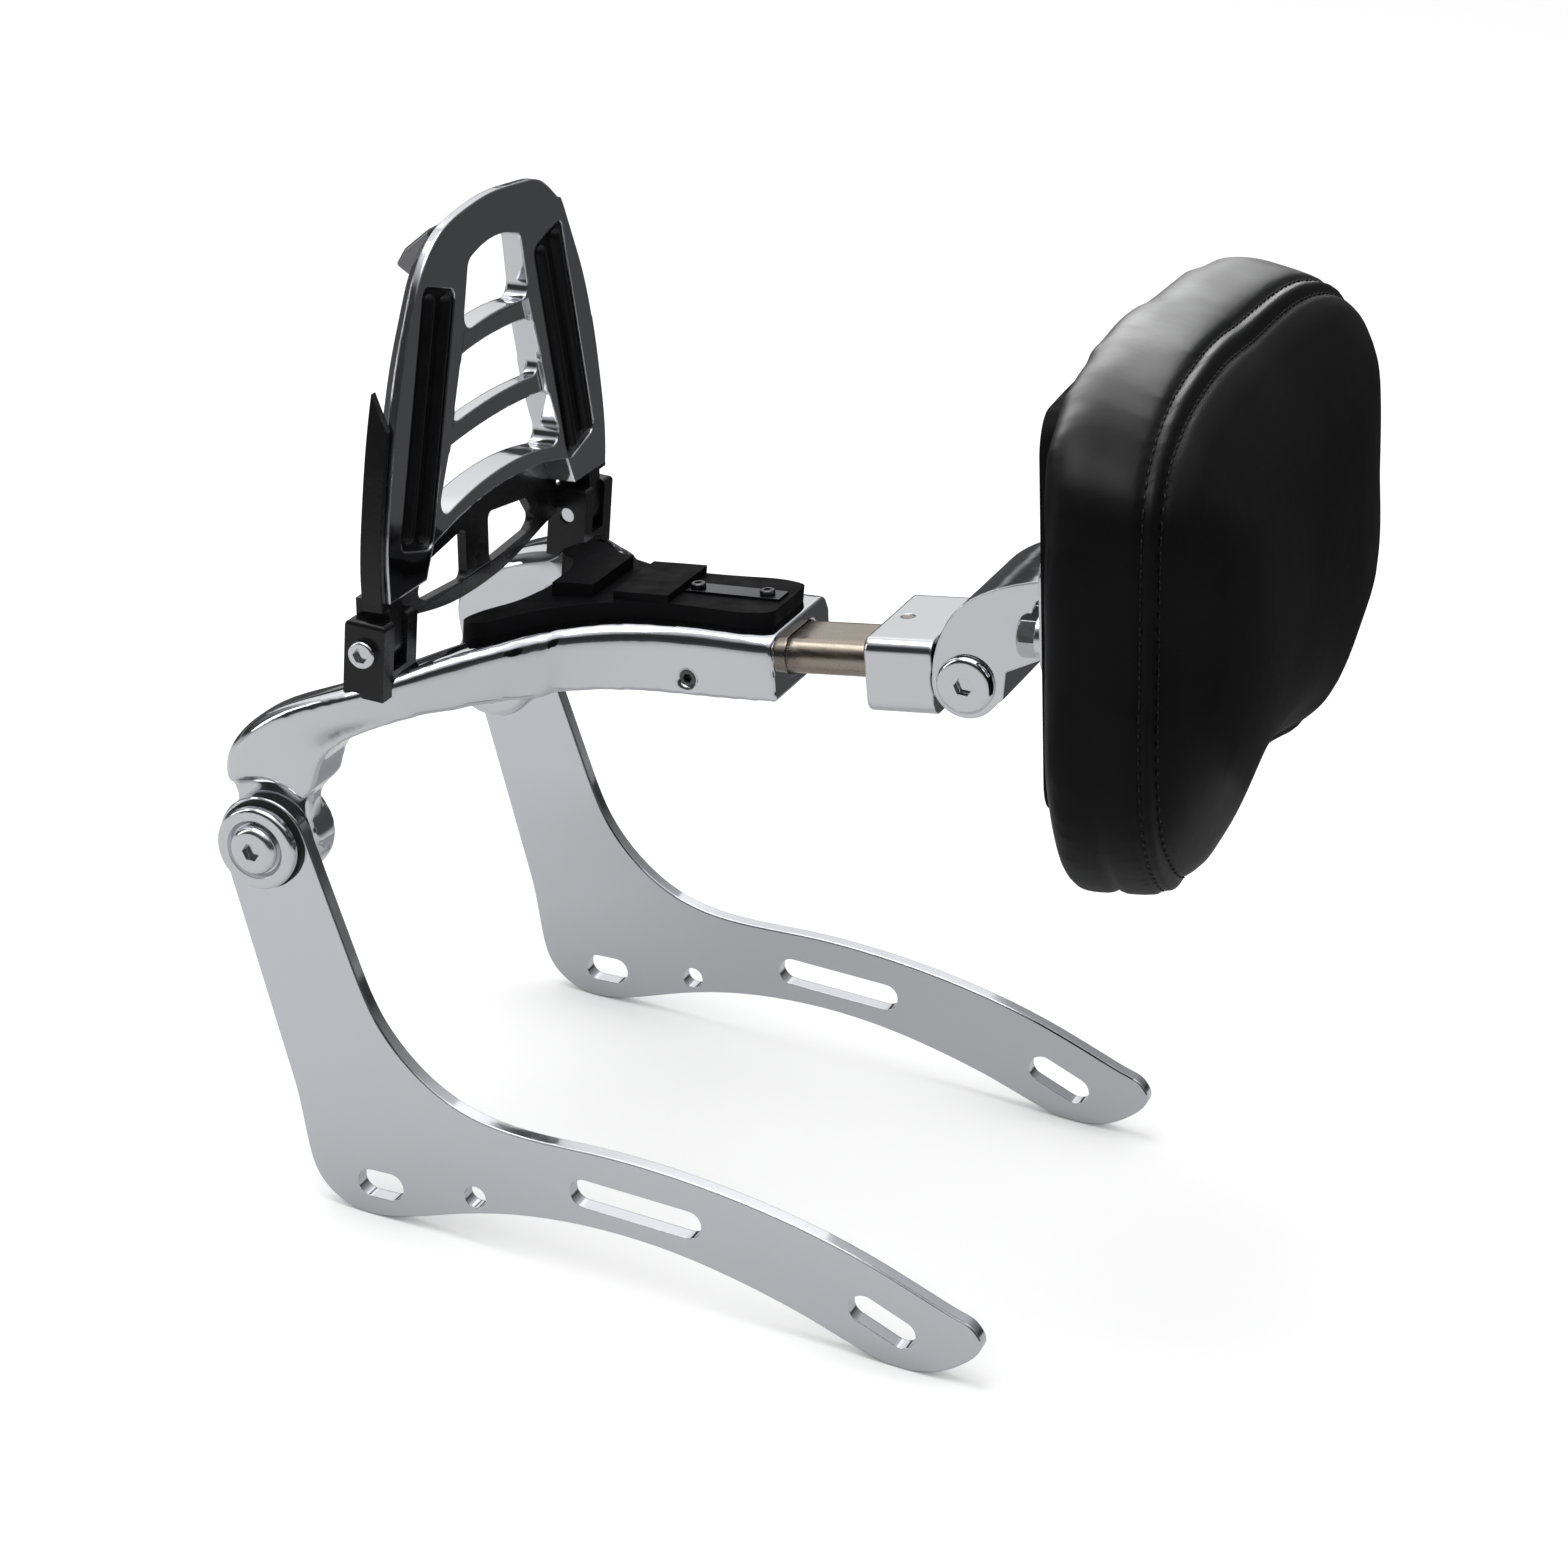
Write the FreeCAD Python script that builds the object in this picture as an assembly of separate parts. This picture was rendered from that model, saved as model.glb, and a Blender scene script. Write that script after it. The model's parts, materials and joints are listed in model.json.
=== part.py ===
import FreeCAD, Part
import math
import os

# Sissy bar for a motorcycle: docking side plates, a swinging yoke, a padded backrest on
# a sliding post, and a folding luggage rack. Millimetres, +X forwards, +Y left, +Z up.
# The origin is midway between the side plates, on the axis of their round locating holes.

tool = 60.0                 # height of a cutting outline, past both faces of what it cuts

# Side plates
plates_width = 201.0        # over the outer faces of both plates
plate_t = 6.0
plate_edge_chamfer = 0.5
round_hole_d = 8.6
slot_w = 11.0
rear_slot = (-38.0, -6.2, 18.5, 2.5)       # centre x, centre z, length, tilt in degrees
long_slot = (62.5, 13.8, 51.0, -1.0)
front_slot = (157.5, -3.1, 26.5, -21.0)
plate_eye_r = 17.5
leg_rear_lean = 19.7        # degrees from the vertical
leg_front_lean = 23.9
leg_rear_foot_z = 27.0
leg_front_foot_z = 82.0

# Pivot of the arms on the plates
pivot_x = -89.0
pivot_z = 119.0
pivot_bolt_d = 10.0
pivot_head_d = 18.0
pivot_head_h = 4.2
cap_washer_d = 31.0
cap_washer_h = 4.5
cap_dish_d = 22.0
cap_dish_deep = 1.6
friction_washer_t = 1.5
inner_washer_d = 21.0
inner_washer_t = 2.0
lock_nut_af = 17.0
lock_nut_h = 8.5
bush_wall = 2.0
bolt_hole_play = 0.2        # on the radius
running_gap = 0.05          # on the radius
socket_af = 6.0
socket_deep = 2.6

# Yoke: two arms and the post housing, one casting
arm_t = 22.0                # at the pivot, over the lapped part
eye_relief_r = 24.0         # the arm's outer skin stops here, clear of the plate
lap_gap = 0.3               # between the plate and the arm's tongue
arms_drawn_for = 201.0      # the plates' spacing that the arms' plan points were taken at
yoke_eye_r = 18.0
axis_pitch = 9.5            # degrees, of the housing and everything on its axis
housing_front = (70.6, 195.1)
housing_h = 23.4
housing_w = 54.0
crotch_x = -21.0            # where the arms part
yoke_top_round = 7.5
yoke_low_round = 2.2
set_screw_d = 6.0
set_screw_back = 34.0       # behind the housing's front
set_screw_h = -5.0          # from the housing's axis

# Pad post, flat oval bar
post_w = 30.0
post_h = 13.0
post_gap = 0.06
post_tail = 62.0            # inside the housing
post_out = 34.0             # from the housing's front to the block
post_in_block = 14.0
slide_in = 26.0
slide_room = 3.0            # left behind the post when it is right in

# Knuckle block on the post
block_len = 25.0
block_h = 27.0
block_round = 5.0
knuckle_ahead = 12.6        # from the block's front to the pad's pivot
knuckle_r = 12.0
knuckle_w = 27.0
saddle_gap = 0.9
cross_pin_d = 5.0
knuckle_bolt_d = 10.0
knuckle_head_h = 3.2

# Pad bracket
ear_gap = 0.3               # beside the knuckle
ear_t = 14.2
ear_r = 12.4
pad_lean = 7.0              # degrees, backwards
board_ahead = 30.8          # face of the pad's boss, ahead of the pivot
board_above = 43.9          # and above it, level with the pad's widest part
flange_low = -29.5          # along the boss, from that point
flange_high = 13.5
neck_high = 0.5
flange_t = 5.0
flange_w = 88.0
bolt_deep = 10.0            # into the pad's boss
bracket_bolt_y = 35.5
bracket_bolt_h = -17.0
bracket_bolt_d = 8.0
hex_af = 13.0
hex_h = 6.5
bolt_washer_d = 15.0
bolt_washer_t = 2.2

# Pad
boss_h = 8.0                # the board's middle stands this far behind it
boss_w = 104.0
boss_corner = 10.0
boss_low = -38.0
boss_high = 24.0
board_t = 7.5
board_w = 178.0
board_high = 74.0
board_low = -60.0
board_corner = 13.0
wrap_r = 1000.0             # the pad wraps round the passenger's back, to its board's radius
foam_gap = 0.3
upper_taper = 3.5           # the band's front edge lies this much lower than its rear, along the top
lower_softness = 0.5        # the front's rounding grows by this share at the lower corners
pad_deep = 76.0             # middle of the pad's front, from the boss's face

# Yoke cover
cover_h = 6.0
cover_half_w = 17.5
strap_x0 = 25.5
strap_x1 = 62.0
strap_w = 9.0
strap_t = 1.5
strap_sunk = 0.6            # how far the strap's foot lies under the cover's top
strap_screw_d = 5.6
cover_humps = ((-20.0, -4.0, 11.0), (4.0, 25.0, 9.0))     # from x, to x, height

# Luggage rack, in its own plane: t runs up from the hinge, s forward
rack_lean = 4.6             # degrees, backwards
hinge_x = -55.0
hinge_z = 196.8
rack_face = 8.0             # in front of the hinge axis
rack_t_foot = 11.0
rack_t_top = 6.5
rack_edge_t = 3.0           # at the rails' outer edges, in front of the bevel
rack_bevel = 11.0
rack_foot = 17.0
rack_apex = 141.5
rung_back = 1.5             # the rungs sit behind the face by this
rung_t = 5.0
strip_w = 24.0
strip_rib_w = 7.4
strip_rib_at = 6.2
strip_rise = 1.4
strip_web_t = 1.0
channel_deep = 2.2
strip_side_gap = 0.1
window_round = 5.0
bracket_t = 3.5
side_bar_t = 3.0
side_bar_top = 88.0
side_bar_back = -1.0
hook_mid_y = 34.0           # hooks behind the rack's upper corners
hook_w = 9.0
hook_below_apex = 5.5       # the hooks start this far under the rack's highest point
hook_drop = 17.0
hook_reach = 13.0
hook_peg_d = 6.0

# Rack hinge
hinge_block_w = 24.0
hinge_block_l = 15.5
hinge_block_y = 80.5        # middle of the block
hinge_tongue_in = 76.0
notch_x = 66.5              # the cross plate is notched round each clevis
notch_y = 14.6
hinge_tongue_w = 9.0
hinge_tongue_gap = 0.3
hinge_tongue_r = 6.5
hinge_screw_d = 6.0
hinge_head_d = 10.0
hinge_head_h = 3.0

half = plates_width / 2
pitch = math.radians(axis_pitch)
ax = FreeCAD.Vector(math.cos(pitch), 0, math.sin(pitch))
up = FreeCAD.Vector(-math.sin(pitch), 0, math.cos(pitch))
front = FreeCAD.Vector(housing_front[0], 0, housing_front[1])
pivot = FreeCAD.Vector(pivot_x, 0, pivot_z)
Y = FreeCAD.Vector(0, 1, 0)
shapes = {}


def V(x=0.0, y=0.0, z=0.0):
    return FreeCAD.Vector(x, y, z)


def spline(points, start=None, end=None):
    """Smooth edge through points, with optional end directions."""
    curve = Part.BSplineCurve()
    if start is None:
        curve.interpolate(points)
    else:
        curve.interpolate(points, InitialTangent=start, FinalTangent=end)
    return curve.toShape()


def line(a, b):
    return Part.LineSegment(a, b).toShape()


def arc(a, b, c):
    return Part.Arc(a, b, c).toShape()


def face(edges):
    return Part.Face(Part.Wire(edges))


def slab(edges, y0, y1):
    """Solid between two Y planes from edges drawn in the XZ plane."""
    return face(edges).translated(V(0, y0)).extrude(V(0, y1 - y0))


def rod(d, length, base, direction):
    return Part.makeCylinder(d / 2, length, base, direction)


def hexagon(af, height, base, direction):
    """Hexagonal bar with its flats across af."""
    r = af / math.sqrt(3)
    pts = [V(r * math.cos(math.radians(60 * i)), r * math.sin(math.radians(60 * i))) for i in range(7)]
    bar = Part.Face(Part.makePolygon(pts)).extrude(V(0, 0, height))
    bar.Placement = FreeCAD.Placement(base, FreeCAD.Rotation(V(0, 0, 1), direction))
    return bar


def stadium(width, height, length, base, direction, across):
    """Flat oval bar: width along across, round ends."""
    r = height / 2
    flat = width / 2 - r
    third = direction.cross(across)
    p = [base + across * flat + third * r, base + across * (flat + r), base + across * flat - third * r,
         base - across * flat - third * r, base - across * (flat + r), base - across * flat + third * r]
    outline = [arc(p[0], p[1], p[2]), line(p[2], p[3]), arc(p[3], p[4], p[5]), line(p[5], p[0])]
    return face(outline).extrude(direction * length)


def mirrored(shape):
    return shape.mirror(V(), Y)


def pair(shape):
    """The right-hand piece and its mirror image on the left."""
    return Part.makeCompound([shape, mirrored(shape)])


def on_axis(s, h=0.0, y=0.0):
    """Point s ahead of the housing's front and h above its axis."""
    return front + ax * s + up * h + V(0, y)


def set_in(shape, origin, up_dir, out_dir):
    """Place a shape drawn with x across, y up and z outwards into a leaned plane."""
    m = FreeCAD.Matrix(0, up_dir.x, out_dir.x, origin.x, 1, 0, 0, 0, 0, up_dir.z, out_dir.z, origin.z)
    moved = shape.copy()
    moved.transformShape(m)
    return moved


def upright(edges, z0, z1):
    return face(edges).translated(V(0, 0, z0)).extrude(V(0, 0, z1 - z0))


def round_edges(shape, radius, chosen):
    picked = [e for e in shape.Edges if chosen(e)]
    return shape.makeFillet(radius, picked)


def middle(edge):
    return edge.valueAt((edge.FirstParameter + edge.LastParameter) / 2)


# Side plates

def plate_outline():
    rear = math.radians(leg_rear_lean)
    fore = math.radians(leg_front_lean)
    down_r = V(math.sin(rear), 0, -math.cos(rear))
    down_f = V(math.sin(fore), 0, -math.cos(fore))
    eye_r = pivot + V(-math.cos(rear), 0, -math.sin(rear)) * plate_eye_r
    eye_f = pivot + V(math.cos(fore), 0, math.sin(fore)) * plate_eye_r
    eye_top = pivot + V(0, 0, plate_eye_r)
    foot_r = eye_r + down_r * ((eye_r.z - leg_rear_foot_z) / math.cos(rear))
    foot_f = eye_f + down_f * ((eye_f.z - leg_front_foot_z) / math.cos(fore))
    under = [foot_r, V(-68.8, 0, 5), V(-63, 0, -9.6), V(-53, 0, -17.4), V(-43, 0, -19.5), V(-30, 0, -17.5),
             V(-10, 0, -10.4), V(15, 0, -3), V(55, 0, 1.4), V(94, 0, -1.8), V(128, 0, -9.6),
             V(150, 0, -16.8)]
    tip = [V(150, 0, -16.8), V(163, 0, -19.5), V(176, 0, -18), V(188, 0, -10.8), V(193.6, 0, -0.6),
           V(190.5, 0, 3.8), V(180, 0, 7.8)]
    over = [V(180, 0, 7.8), V(150, 0, 18.3), V(118, 0, 26), V(84, 0, 30.4), V(45, 0, 31.2), V(14, 0, 30),
            V(-9, 0, 34), V(-26, 0, 43.4), V(-41, 0, 58.5), foot_f]
    run = V(22, 0, -7.2)
    back = V(-20, 0, 7)
    return [spline(under, down_r, run), spline(tip, run, back), spline(over, back, down_f * -1),
            line(foot_f, eye_f), arc(eye_f, eye_top, eye_r), line(eye_r, foot_r)]


def plate_slot(x, z, length, tilt):
    t = math.radians(tilt)
    along = V(math.cos(t), 0, math.sin(t))
    return stadium(length, slot_w, plate_t + 2, V(x, -half - 1, z), Y, along)


def side_plate():
    plate = slab(plate_outline(), -half, -half + plate_t)
    plate = plate.makeChamfer(plate_edge_chamfer, plate.Edges)
    for x, z, length, tilt in (rear_slot, long_slot, front_slot):
        plate = plate.cut(plate_slot(x, z, length, tilt))
    plate = plate.cut(rod(round_hole_d, plate_t + 2, V(0, -half - 1, 0), Y))
    return plate.cut(rod(pivot_bolt_d + 2 * bolt_hole_play, plate_t + 2, pivot + V(0, -half - 1), Y))


right_plate = side_plate()
shapes["right_side_plate"] = right_plate
shapes["left_side_plate"] = mirrored(right_plate)

# Pivot hardware, right-hand side, seated from the plate's outer face outwards

friction_y = -half - friction_washer_t
washer_y = friction_y - cap_washer_h
head_y = washer_y + cap_dish_deep
tongue_out_y = -half + plate_t + lap_gap
tongue_in_y = -half + arm_t
inner_washer_y = tongue_in_y + lap_gap
nut_y = inner_washer_y + inner_washer_t

friction = rod(cap_washer_d + 1.5, friction_washer_t, pivot + V(0, friction_y), Y)
friction_hole = pivot_bolt_d + 2 * bolt_hole_play
friction = friction.cut(rod(friction_hole, friction_washer_t, pivot + V(0, friction_y), Y))
shapes["pivot_friction_washers"] = pair(friction)

cap = rod(cap_washer_d, cap_washer_h, pivot + V(0, washer_y), Y)
cap = round_edges(cap, 1.8, lambda e: abs(middle(e).y - washer_y) < 0.01)
cap = cap.cut(Part.makeCone(cap_dish_d / 2, cap_dish_d / 2 - 1.4, cap_dish_deep, pivot + V(0, washer_y), Y))
cap = cap.cut(rod(pivot_bolt_d + 2 * bolt_hole_play, cap_washer_h, pivot + V(0, washer_y), Y))
shapes["pivot_cap_washers"] = pair(cap)

head_r = pivot_head_d / 2
bolt = rod(pivot_head_d, pivot_head_h, pivot + V(0, head_y - pivot_head_h), Y)
bolt = round_edges(bolt, 2.6, lambda e: abs(middle(e).y - head_y + pivot_head_h) < 0.01)
bolt = bolt.fuse(rod(pivot_bolt_d, nut_y + lock_nut_h + 2 - head_y, pivot + V(0, head_y), Y))
bolt = bolt.cut(hexagon(socket_af, socket_deep, pivot + V(0, head_y - pivot_head_h), Y))
shapes["pivot_bolts"] = pair(bolt)

inner = rod(inner_washer_d, inner_washer_t, pivot + V(0, inner_washer_y), Y)
inner = inner.cut(rod(pivot_bolt_d + 2 * bolt_hole_play, inner_washer_t, pivot + V(0, inner_washer_y), Y))
shapes["pivot_inner_washers"] = pair(inner)

nut = hexagon(lock_nut_af, lock_nut_h, pivot + V(0, nut_y), Y)
nut_cone = Part.makeCone(lock_nut_af / 2 + 3.2, lock_nut_af / 2 - 0.6, lock_nut_h, pivot + V(0, nut_y), Y)
nut = nut.common(nut_cone)
nut = nut.cut(rod(pivot_bolt_d, lock_nut_h, pivot + V(0, nut_y), Y))
shapes["pivot_lock_nuts"] = pair(nut)

bush_d = pivot_bolt_d + 2 * running_gap + 2 * bush_wall
bush = rod(bush_d, tongue_in_y - tongue_out_y, pivot + V(0, tongue_out_y), Y)
bush = bush.cut(rod(pivot_bolt_d + 2 * running_gap, arm_t, pivot + V(0, tongue_out_y), Y))
shapes["pivot_bushes"] = pair(bush)

# Yoke: each arm is lofted through sections that run along Y, then both arms join the housing

def y_at(curve, x):
    """Y where a plan curve passes x; the curve's x rises along its length."""
    low, high = curve.FirstParameter, curve.LastParameter
    for _ in range(40):
        mid = (low + high) / 2
        if curve.valueAt(mid).x < x:
            low = mid
        else:
            high = mid
    return curve.valueAt(low).y


def section(upper, lower, sides):
    """Four-sided outline with eased upper corners."""
    y0, y1, y2, y3 = sides
    a = V(upper[0], y0, upper[1])
    b = V(upper[0], y1, upper[1])
    c = V(lower[0], y2, lower[1])
    d = V(lower[0], y3, lower[1])
    a_low = (d - a).normalize() * yoke_top_round
    b_low = (c - b).normalize() * yoke_top_round
    inward = V(0, yoke_top_round)
    ease_a = Part.BezierCurve()
    ease_b = Part.BezierCurve()
    ease_a.setPoles([a + a_low, a, a + inward])
    ease_b.setPoles([b - inward, b, b + b_low])
    return Part.Wire([ease_a.toShape(), line(a + inward, b - inward), ease_b.toShape(),
                      line(b + b_low, c), line(c, d), line(d, a + a_low)])


tongue_y = -half + arm_t
spread = plates_width / arms_drawn_for


def arm_plan(points):
    """Middle of an arm in plan, spread with the plates."""
    return [V(x, y * spread) for x, y in points]


outer_eye = [V(-110, -half), V(-92, -half), V(-76, -half)]
outer_bend = arm_plan([(-62, -97.3), (-50, -89), (-37, -75), (-22, -58.5), (-7, -42), (7, -31)])
outer_body = [V(22, -housing_w / 2 - 0.4), V(40, -housing_w / 2)]
outer_body += [V(60, -housing_w / 2), V(80, -housing_w / 2)]
arm_outer = spline(outer_eye + outer_bend + outer_body)
inner_eye = [V(-110, tongue_y), V(-92, tongue_y), V(-78, tongue_y)]
inner_bend = arm_plan([(-67, -75.6), (-56, -66.5), (-45, -54), (-34, -39), (-25, -20)])
arm_inner = spline(inner_eye + inner_bend + [V(crotch_x + 1, 0), V(-14, 8), V(-4, 10), V(6, 10)])
rear = pivot_x - yoke_eye_r
fore = pivot_x + yoke_eye_r
arm_upper = [(rear, pivot_z), (rear, 143), (-102.5, 156.5), (-92, 167), (-78, 174.8), (-62, 181.3),
             (-45, 187.8), (-30, 192.3), (-18, 194.9), (-8, 196.6)]
arm_lower = [(fore, pivot_z), (fore, 143), (-69, 152), (-63.5, 160.8), (-54, 166.6), (-44, 169.9),
             (-34, 171.3), (-24, 172.1), (-16, 172.4), (-8, 172.9)]
nose_top = on_axis(0, housing_h / 2)
nose_low = on_axis(0, -housing_h / 2)
body_upper = [(-14, 195.5), (3, 198.3), (22, 201), (45, 203.8), (nose_top.x, nose_top.z)]
body_lower = [(-14, 172.5), (4, 174), (24, 176.2), (47, 179.4), (nose_low.x, nose_low.z)]

arm_sections = []
for p, q in zip(arm_upper, arm_lower):
    sides = (y_at(arm_outer, p[0]), y_at(arm_inner, p[0]), y_at(arm_inner, q[0]), y_at(arm_outer, q[0]))
    arm_sections.append(section(p, q, sides))
body_sections = []
for p, q in zip(body_upper, body_lower):
    y0 = y_at(arm_outer, p[0])
    y1 = y_at(arm_outer, q[0])
    body_sections.append(section(p, q, (y0, -y0, -y1, y1)))

yoke_arm = Part.makeLoft(arm_sections, True)
yoke_arm = yoke_arm.fuse(rod(2 * yoke_eye_r, arm_t, pivot + V(0, -half), Y))
yoke_arm = yoke_arm.cut(rod(2 * eye_relief_r, plate_t + lap_gap, pivot + V(0, -half), Y))
between = Part.makeBox(300, half, 300, V(-150, -half, 0)).fuse(Part.makeBox(300, half, 300, V(-150, 0, 0)))
yoke_arm = yoke_arm.common(between)
yoke_arm = yoke_arm.cut(rod(bush_d, 2 * arm_t, pivot + V(0, -half), Y))
yoke_arm = yoke_arm.cut(rod(inner_washer_d + 2, arm_t, pivot + V(0, tongue_in_y), Y))
yoke_body = Part.makeLoft(body_sections, True)
whole_yoke = yoke_body.fuse([yoke_arm, mirrored(yoke_arm)])
hole_deep = post_tail + slide_in + slide_room
hole_w = post_w + 2 * post_gap
hole_h = post_h + 2 * post_gap
yoke = whole_yoke.cut(stadium(hole_w, hole_h, hole_deep + 1, on_axis(-hole_deep), ax, Y))
set_screw_at = on_axis(-set_screw_back, set_screw_h)
set_screw_from = V(set_screw_at.x, -housing_w / 2, set_screw_at.z)
yoke = yoke.cut(rod(set_screw_d, housing_w / 2 - post_w / 2, set_screw_from, Y))
shapes["yoke"] = yoke

screw_y = -housing_w / 2 + 1.5
grub = rod(set_screw_d - 0.04, -post_w / 2 - screw_y - 0.3, V(set_screw_at.x, screw_y, set_screw_at.z), Y)
grub = grub.cut(hexagon(3.0, 2.5, V(set_screw_at.x, screw_y, set_screw_at.z), Y))
shapes["post_set_screw"] = grub

# Pad post and knuckle block

post = stadium(post_w, post_h, post_tail + post_out + post_in_block, on_axis(-post_tail), ax, Y)
post = post.makeChamfer(0.8, [e for e in post.Edges if (middle(e) - front).dot(ax) < -post_tail + 0.1])
shapes["pad_post"] = post

tilt_axis = on_axis(post_out + block_len + knuckle_ahead)
tilt_line = tilt_axis + V(0, -100)
block = Part.makeBox(block_len, housing_w, block_h, V(0, -housing_w / 2, -block_h / 2))
block.Placement = FreeCAD.Placement(on_axis(post_out), FreeCAD.Rotation(V(0, 1, 0), -axis_pitch))
block = round_edges(block, block_round, lambda e: abs(e.Length - block_len) < 0.01)
block = round_edges(block, 1.5, lambda e: (middle(e) - front).dot(ax) < post_out + 0.1)
block = block.cut(rod(2 * (ear_r + saddle_gap), 200, tilt_line, Y))
knuckle = rod(2 * knuckle_r, knuckle_w, tilt_axis - V(0, knuckle_w / 2), Y)
neck = Part.makeBox(knuckle_ahead + 6, knuckle_w, 2 * knuckle_r - 3, V(0, -knuckle_w / 2, -knuckle_r + 1.5))
axis_tilt = FreeCAD.Rotation(V(0, 1, 0), -axis_pitch)
neck.Placement = FreeCAD.Placement(on_axis(post_out + block_len - 6), axis_tilt)
block = block.fuse([knuckle, neck])
block = block.cut(stadium(post_w, post_h, post_in_block, on_axis(post_out), ax, Y))
block = block.cut(rod(knuckle_bolt_d, 200, tilt_line, Y))
pin_at = on_axis(post_out + post_in_block / 2, -block_h / 2)
block = block.cut(rod(cross_pin_d, block_h, pin_at, up))
shapes["knuckle_block"] = block
shapes["pad_post"] = post.cut(rod(cross_pin_d, block_h, pin_at, up))
shapes["post_cross_pin"] = rod(cross_pin_d, block_h - 0.6, pin_at + up * 0.3, up)

ear_y = knuckle_w / 2 + ear_gap
ear_face = ear_y + ear_t
kbolt = rod(knuckle_bolt_d, 2 * ear_face + 9, tilt_axis - V(0, ear_face), Y)
khead = rod(2 * ear_r - 4, knuckle_head_h, tilt_axis - V(0, ear_face + knuckle_head_h), Y)
khead = round_edges(khead, 2.2, lambda e: abs(middle(e).y + ear_face + knuckle_head_h) < 0.01)
kbolt = kbolt.fuse(khead)
kbolt = kbolt.cut(hexagon(socket_af, socket_deep, tilt_axis - V(0, ear_face + knuckle_head_h), Y))
shapes["knuckle_bolt"] = kbolt
knut = hexagon(16, 8, tilt_axis + V(0, ear_face), Y)
knut = knut.common(Part.makeCone(8 + 3.6, 7.2, 8, tilt_axis + V(0, ear_face), Y))
cap_dome = Part.makeSphere(7, tilt_axis + V(0, ear_face + 8)).cut(rod(20, 8, tilt_axis + V(0, ear_face), Y))
knut = knut.fuse(cap_dome).cut(rod(knuckle_bolt_d, 9, tilt_axis + V(0, ear_face), Y))
shapes["knuckle_nut"] = knut

# Pad bracket: two ears on a neck, and a flange that leans back with the pad

bx = tilt_axis.x
bz = tilt_axis.z
lean_pad = math.radians(pad_lean)
pad_up = V(-math.sin(lean_pad), 0, math.cos(lean_pad))
pad_out = V(math.cos(lean_pad), 0, math.sin(lean_pad))
pad_seat = V(bx + board_ahead, 0, bz + board_above)


def lean_on(shape):
    return set_in(shape, pad_seat, pad_up, pad_out)


def curved_slab(behind, ahead):
    """Between two cylinders about the pad's wrap axis, at these depths in the middle."""
    axis_at = V(0, -100, wrap_r)
    outer = Part.makeCylinder(wrap_r - behind, 200, axis_at, V(0, 1, 0))
    return outer.cut(Part.makeCylinder(wrap_r - ahead, 200, axis_at, V(0, 1, 0)))


def bolt_turn(shape, side):
    """Shape swung round the board's curve, to where the bracket's bolts stand."""
    turned = shape.copy()
    turned.rotate(V(0, 0, wrap_r), V(0, 1, 0), -side * math.degrees(bracket_bolt_y / wrap_r))
    return turned


flange_mid = pad_seat - pad_out * (flange_t / 2)
neck_top = flange_mid + pad_up * neck_high
neck_low = flange_mid + pad_up * (flange_low + 4)
rear_side = [V(bx - ear_r, 0, bz + 1), V(bx - ear_r + 0.6, 0, bz + 12), V(bx - 5.6, 0, bz + 26.5),
             V(bx + 7.5, 0, bz + 36.5), neck_top]
ledge = V(bx + 13.8, 0, bz + 7.5)
fore_foot = V(bx + 13.8, 0, bz - 2.5)
chin = V(bx + 6, 0, bz - 10.8)
heel = V(bx - 4, 0, bz - 6)
neck_side = [spline(rear_side), line(neck_top, neck_low), line(neck_low, ledge), line(ledge, fore_foot),
             line(fore_foot, chin), line(chin, heel), line(heel, rear_side[0])]
bracket = slab(neck_side, -ear_face, ear_face)
bracket = bracket.fuse(rod(2 * ear_r, 2 * ear_face, tilt_axis - V(0, ear_face), Y))
flange = Part.makeBox(flange_w, flange_high - flange_low, tool, V(-flange_w / 2, flange_low, -tool / 2))
flange = round_edges(flange, 9, lambda e: abs(e.Length - tool) < 0.01)
flange = flange.common(curved_slab(-flange_t, 0))
bracket = bracket.fuse(lean_on(flange))
bolts = []
bolt_shanks = []
for side in (-1, 1):
    under = V(0, bracket_bolt_h, -flange_t - bolt_washer_t)
    washer = rod(bolt_washer_d, bolt_washer_t, under, V(0, 0, 1))
    hexed = hexagon(hex_af, hex_h, under - V(0, 0, hex_h), V(0, 0, 1))
    chamfer = Part.makeCone(hex_af / 2 - 0.2, hex_af / 2 + hex_h, hex_h, under - V(0, 0, hex_h), V(0, 0, 1))
    shank = rod(bracket_bolt_d, bolt_washer_t + flange_t + bolt_deep, under, V(0, 0, 1))
    bolts.append(bolt_turn(washer.fuse([hexed.common(chamfer), shank]), side))
    bolt_shanks.append(bolt_turn(shank, side))
    hole = rod(bracket_bolt_d + 0.4, 3 * flange_t, V(0, bracket_bolt_h, -2 * flange_t), V(0, 0, 1))
    bracket = bracket.cut(lean_on(bolt_turn(hole, side)))
bracket = bracket.cut(rod(2 * knuckle_r + 2 * saddle_gap, 2 * ear_y, tilt_axis - V(0, ear_y), Y))
slot = Part.makeBox(20, 2 * ear_y, 2 * knuckle_r + 2, V(-20, -ear_y, -knuckle_r - 1))
slot.Placement = FreeCAD.Placement(tilt_axis, FreeCAD.Rotation(V(0, 1, 0), -axis_pitch))
bracket = bracket.cut(slot)
bracket = bracket.cut(rod(knuckle_bolt_d + 2 * running_gap, 200, tilt_line, Y))
shapes["pad_bracket"] = bracket
shapes["bracket_bolts"] = lean_on(Part.makeCompound(bolts))

# Pad: half outline of the cover at its widest, from the top centre down to the bottom centre

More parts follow.
